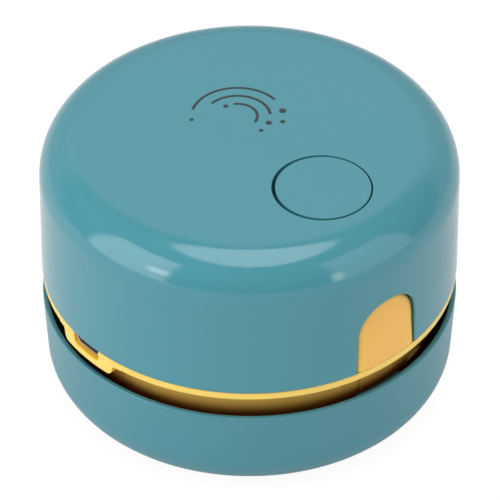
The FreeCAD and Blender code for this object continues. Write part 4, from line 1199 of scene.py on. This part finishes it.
def cross_recess(radius, z_low, z_high):
    """Star-shaped recess of a screw head, narrower at its bottom."""
    blades = []
    for angle in (0, 90):
        blade = bar((-radius, -radius * 0.22, z_low), (radius, radius * 0.22, z_high))
        bottom = [v for v in blade.verts if v.co.z < (z_low + z_high) / 2]
        bmesh.ops.scale(blade, vec=(0.5, 0.5, 1), verts=bottom)
        blades.append(turn_by(blade, angle))
    return worked(blades[0], ("add", blades[1]))


def screw(shank, head, head_height, length):
    """Pan-head screw with its head down on Z = 0, a cross recess and a thread."""
    top, core, pitch = head_height + length, shank * 0.82, shank * 0.75
    body = turned((0, 0), (head, 0, 0.45), (head, head_height, 0.1), (core, head_height), (core, top - 0.8),
                  (0, top), steps=28)
    body = worked(body, ("cut", turn_by(cross_recess(head * 0.62, -head_height * 0.65, 0.2), 180, "X")))
    ridge = outline((shank * 0.78, head_height + 0.3), (shank, head_height + 0.3 + pitch * 0.25),
                    (shank * 0.78, head_height + 0.3 + pitch * 0.5))
    turns = (length - 1.2) / pitch
    count = int(turns * 14)
    bmesh.ops.spin(ridge, geom=ridge.verts[:] + ridge.edges[:], cent=(0, 0, 0), axis=(0, 0, 1),
                   dvec=(0, 0, pitch * turns / count), angle=FULL * turns, steps=count)
    bmesh.ops.holes_fill(ridge, edges=[e for e in ridge.edges if e.is_boundary], sides=6)
    bmesh.ops.recalc_face_normals(ridge, faces=ridge.faces)
    return joined([body, ridge])


class VACUUM_OT_fasteners(bpy.types.Operator):
    """Screws and springs"""
    bl_idname = "vacuum.fasteners"
    bl_label = "Screws and springs"

    def execute(self, context):
        low = span("housing_screws")[0].z
        screws = [moved(screw(*LONG_SCREW, 15.0), x, y, low) for x, y in quarters(SCREW_CIRCLE)]
        self.made(joined(screws), "long_screws", "housing_screws")
        self.pair("plate_screws", "motor_screws", x=0)
        self.pair("card_screws", "board_screws", head_up=True)
        self.pair("switch_fixings", "switch_screws", x=BUTTON_X)
        self.button_spring()
        for side, angle in SIDES.items():
            self.tab_spring(side, angle)
        return {"FINISHED"}

    def made(self, shape, name, node, sharp=32):
        return finish_piece(shape, name, finish("steel"), "head", [node], sharp=sharp)

    def pair(self, name, node, x=None, head_up=False):
        """Two small screws at the ends of their node's box: along Y at one x, or else along X."""
        low, high = span(node)
        head, head_height = SMALL_SCREW[1:]
        if x is None:
            places = [(end, (low.y + high.y) / 2) for end in (low.x + head, high.x - head)]
        else:
            places = [(x, end) for end in (low.y + head, high.y - head)]
        screws = []
        for place in places:
            one = screw(*SMALL_SCREW, high.z - low.z - head_height)
            if head_up:
                turn_by(one, 180, "X")
            screws.append(moved(one, *place, high.z if head_up else low.z))
        self.made(joined(screws), name, node)

    def button_spring(self):
        """Spring round the switch, which the button presses together."""
        low, high = span("button_spring")
        wire, length = 0.6, high.z - low.z
        spring = coil((high.y - low.y) / 2 - wire / 2, wire, length - wire, 3)
        piece = self.made(moved(spring, BUTTON_X, 0, low.z), "button_coil", "button_spring", sharp=60)
        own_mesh(piece)

    def tab_spring(self, side, angle):
        """Spring behind a release tab, which the tab presses together."""
        low, high = span("tab_spring_right")
        wire, length = 0.5, high.x - low.x
        spring = moved(turn_by(coil(2.6, wire, length - wire, 3), 90, "Y"), low.x, 0, (low.z + high.z) / 2)
        piece = self.made(turn_by(spring, angle), "tab_coil_" + side, "tab_spring_" + side, sharp=60)
        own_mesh(piece)


INNER_PARTS = (
    ("motor_plate", "black", 0.2), ("motor_can", "steel", 0.25), ("motor_magnets", "magnet", 0.15),
    ("motor_cap", "black", 0.2), ("motor_terminals", "brass", 0.08), ("motor_shaft", "steel", 0.1),
    ("armature", "steel", 0.1), ("impeller", "pale", 0.12), ("battery_cell", "sleeve", 0.0),
    ("battery_pad", "foam", 0.1), ("charge_board", "board", 0.06), ("board_chips", "black", 0.1),
    ("switch_board", "board", 0.06), ("switch_body", "black", 0.15), ("switch_plunger", "pale", 0.12),
)


class VACUUM_OT_inner_parts(bpy.types.Operator):
    """Motor, fan, battery, boards and switch, with softened edges"""
    bl_idname = "vacuum.inner_parts"
    bl_label = "Inner parts"

    def execute(self, context):
        for node, look, edge in INNER_PARTS:
            shape = node_shape(node)
            if edge:
                soften(shape, [e for e in shape.edges if e.calc_face_angle(0) > 0.6], edge, 2)
            finish_piece(shape, node + "_piece", finish(look), body_of(node), [node], sharp=35)
        return {"FINISHED"}


class VACUUM_OT_print(bpy.types.Operator):
    """Printed pattern on the top: three broken arcs with dots blown along them"""
    bl_idname = "vacuum.print"
    bl_label = "Top print"

    def execute(self, context):
        half, low, high = 0.28, -0.05, 0.03
        marks = []
        for radius, start, stop in ((4.0, 20, 150), (6.6, 55, 190), (9.2, 85, 215)):
            stroke = bmesh.new()
            corners = [stroke.verts.new((radius + x, 0, z)) for x, z in
                       ((-half, low), (half, low), (half, high), (-half, high))]
            stroke.faces.new(corners)
            turn_by(stroke, start)
            bmesh.ops.spin(stroke, geom=stroke.faces[:], cent=(0, 0, 0), axis=(0, 0, 1),
                           angle=math.radians(stop - start), steps=24)
            marks.append(stroke)
        for radius, angle, size in ((4.0, 175, 0.5), (6.6, 30, 0.62), (6.6, 5, 0.45), (9.2, 60, 0.7),
                                    (9.2, 38, 0.5), (9.2, 236, 0.42)):
            marks.append(rod(size, low, high, *on_circle(radius, angle), sides=28))
        shape = joined(marks)
        bmesh.ops.recalc_face_normals(shape, faces=shape.faces)
        moved(shape, -6.0, 2.0)
        for vert in shape.verts:
            vert.co.z += crown_z(math.hypot(vert.co.x, vert.co.y))
        finish_piece(shape, "top_pattern", finish("ink"), "head")
        return {"FINISHED"}


class VACUUM_OT_stage(bpy.types.Operator):
    """Floor, soft lamps, even sky and the camera"""
    bl_idname = "vacuum.stage"
    bl_label = "Stage"

    def execute(self, context):
        stage = context.scene.vacuum_stage
        context.scene.view_settings.view_transform = "Standard"
        self.camera(context, stage)
        self.sky(context, stage)
        self.floor()
        front = math.degrees(math.atan2(stage.eye[1], stage.eye[0]))
        over = Vector((*on_circle(0.035, front + 26), 0.75))
        self.lamp("lamp_overhead", over, (over.x, over.y, 0), (0.52, 0.63), stage.overhead, 90 + front,
                  "ELLIPSE")
        # Turn in degrees from the camera's side, distance, height and size in metres. The small lamps make
        # the bright spots on the shoulder, and their power follows from brightness and area.
        for name, watts, turn, away, rise, size in (
                ("lamp_left", stage.left, -63, 0.7, 0.43, (0.57, 0.84)),
                ("lamp_right", stage.right, 64, 0.7, 0.43, (0.57, 0.84)),
                ("spark_left", 4.4 * math.pi * 0.12 * 0.12, -46, 0.6, 0.24, (0.12, 0.12)),
                ("spark_right", 3.0 * math.pi * 0.06 * 0.2, 43, 0.6, 0.13, (0.06, 0.2))):
            self.lamp(name, (*on_circle(away, front + turn), rise), (0, 0, rise), size, watts)
        return {"FINISHED"}

    def camera(self, context, stage):
        lens = bpy.data.cameras.new("camera")
        lens.lens = stage.focal
        lens.sensor_width = 36
        lens.shift_x, lens.shift_y = 0.001, -0.0014
        eye = bpy.data.objects.new("camera", lens)
        context.scene.collection.objects.link(eye)
        eye.location = stage.eye
        eye.rotation_euler = (Vector(stage.aim) - Vector(stage.eye)).to_track_quat("-Z", "Y").to_euler()
        context.scene.camera = eye

    def sky(self, context, stage):
        """Even light on the object, white behind it, and a room for what glossy faces mirror."""
        world = bpy.data.worlds.new("sky")
        world.use_nodes = True
        context.scene.world = world
        tree = world.node_tree
        light = tree.nodes["Background"]
        light.inputs["Color"].default_value = (1, 1, 1, 1)
        light.inputs["Strength"].default_value = stage.sky
        path = tree.nodes.new("ShaderNodeLightPath")
        white = maths(tree, "MAXIMUM", path.outputs["Is Camera Ray"], self.room(tree, stage))
        seen = add(tree, "ShaderNodeBackground", Color=(1, 1, 1, 1), Strength=white)
        self.mixed(tree, self.looked_at(tree), light, seen, tree.nodes["World Output"])

    def room(self, tree, stage):
        """Room that mirrors show: bright beyond the object, dim low down and above the camera."""
        way = tree.nodes.new("ShaderNodeTexCoord").outputs["Generated"]
        ahead = Vector((stage.eye[0], stage.eye[1], 0)).normalized()

        def along(direction):
            node = tree.nodes.new("ShaderNodeVectorMath")
            node.operation = "DOT_PRODUCT"
            tree.links.new(way, node.inputs[0])
            node.inputs[1].default_value = direction
            return node.outputs["Value"]

        facing = along((ahead + Vector((0, 0, 1))).normalized())
        aside = maths(tree, "MULTIPLY", maths(tree, "ABSOLUTE", along((-ahead.y, ahead.x, 0))), 0.42)
        beyond = ranged(tree, maths(tree, "ADD", facing, aside), 0.1, 0.3, 0.95, 0.25)
        return maths(tree, "MULTIPLY", beyond, ranged(tree, along((0, 0, 1)), 0.35, 0.62, 0.6))

    def mixed(self, tree, share, first, second, output):
        """Mix of two shaders, to an output."""
        mix = tree.nodes.new("ShaderNodeMixShader")
        tree.links.new(share, mix.inputs[0])
        tree.links.new(first.outputs[0], mix.inputs[1])
        tree.links.new(second.outputs[0], mix.inputs[2])
        tree.links.new(mix.outputs[0], output.inputs["Surface"])

    def looked_at(self, tree, camera=1.0, sharp=1.0):
        """A share for rays of the camera, and one for those that mirrors and glass send on."""
        path = tree.nodes.new("ShaderNodeLightPath")
        sent = maths(tree, "MAXIMUM", path.outputs["Is Glossy Ray"], path.outputs["Is Transmission Ray"])
        return maths(tree, "MAXIMUM", maths(tree, "MULTIPLY", path.outputs["Is Camera Ray"], camera),
                     maths(tree, "MULTIPLY", sent, sharp))

    def floor(self):
        bm = bmesh.new()
        bmesh.ops.create_grid(bm, x_segments=1, y_segments=1, size=3.0)
        mesh = bpy.data.meshes.new("floor")
        bm.to_mesh(mesh)
        bm.free()
        ground = bpy.data.objects.new("floor", mesh)
        bpy.context.scene.collection.objects.link(ground)
        material, tree, surface = shader("floor_white", Roughness=0.9, Specular_IOR_Level=0.0)
        surface.inputs["Base Color"].default_value = (0.75, 0.75, 0.75, 1)
        white = add(tree, "ShaderNodeEmission", Color=(1, 1, 1, 1), Strength=1.1)
        self.mixed(tree, self.looked_at(tree, 0.84, 0.18), surface, white, tree.nodes["Material Output"])
        mesh.materials.append(material)

    def lamp(self, name, place, aim, size, watts, roll=0.0, shape="RECTANGLE"):
        light = bpy.data.lights.new(name, "AREA")
        light.shape = shape
        light.size, light.size_y = size
        light.energy = watts
        lamp = bpy.data.objects.new(name, light)
        bpy.context.scene.collection.objects.link(lamp)
        lamp.location = place
        look = (Vector(aim) - Vector(place)).to_track_quat("-Z", "Y")
        lamp.rotation_euler = (look.to_matrix() @ Matrix.Rotation(math.radians(roll), 3, "Z")).to_euler()


STEPS = (
    VACUUM_OT_stage, VACUUM_OT_housing, VACUUM_OT_button, VACUUM_OT_print, VACUUM_OT_base, VACUUM_OT_brush,
    VACUUM_OT_shell, VACUUM_OT_tabs, VACUUM_OT_port, VACUUM_OT_filter, VACUUM_OT_fasteners,
    VACUUM_OT_inner_parts,
)


class VACUUM_PT_pieces(bpy.types.Panel):
    """Lists the pieces, sizes, colours and stage of the vacuum cleaner"""
    bl_idname = "VACUUM_PT_pieces"
    bl_label = "Desktop vacuum cleaner"
    bl_space_type = "VIEW_3D"
    bl_region_type = "UI"
    bl_category = "Vacuum"

    def draw(self, context):
        for title in ("Sizes", "Colours", "Stage"):
            values = getattr(context.scene, "vacuum_" + title.lower())
            box = self.layout.box()
            box.label(text=title)
            for key in values.bl_rna.properties.keys():
                if key not in ("rna_type", "name"):
                    box.prop(values, key)
        for step in STEPS:
            self.layout.operator(step.bl_idname)


GROUPS_OF_VALUES = (
    (VacuumSizes, "vacuum_sizes"), (VacuumColours, "vacuum_colours"), (VacuumStage, "vacuum_stage"))


def register():
    for values, key in GROUPS_OF_VALUES:
        bpy.utils.register_class(values)
        setattr(bpy.types.Scene, key, bpy.props.PointerProperty(type=values))
    for step in STEPS:
        bpy.utils.register_class(step)
    bpy.utils.register_class(VACUUM_PT_pieces)


def unregister():
    bpy.utils.unregister_class(VACUUM_PT_pieces)
    for step in reversed(STEPS):
        bpy.utils.unregister_class(step)
    for values, key in reversed(GROUPS_OF_VALUES):
        delattr(bpy.types.Scene, key)
        bpy.utils.unregister_class(values)


def main():
    register()
    for step in STEPS:
        area, action = step.bl_idname.split(".")
        getattr(getattr(bpy.ops, area), action)()


if __name__ == "__main__":
    main()
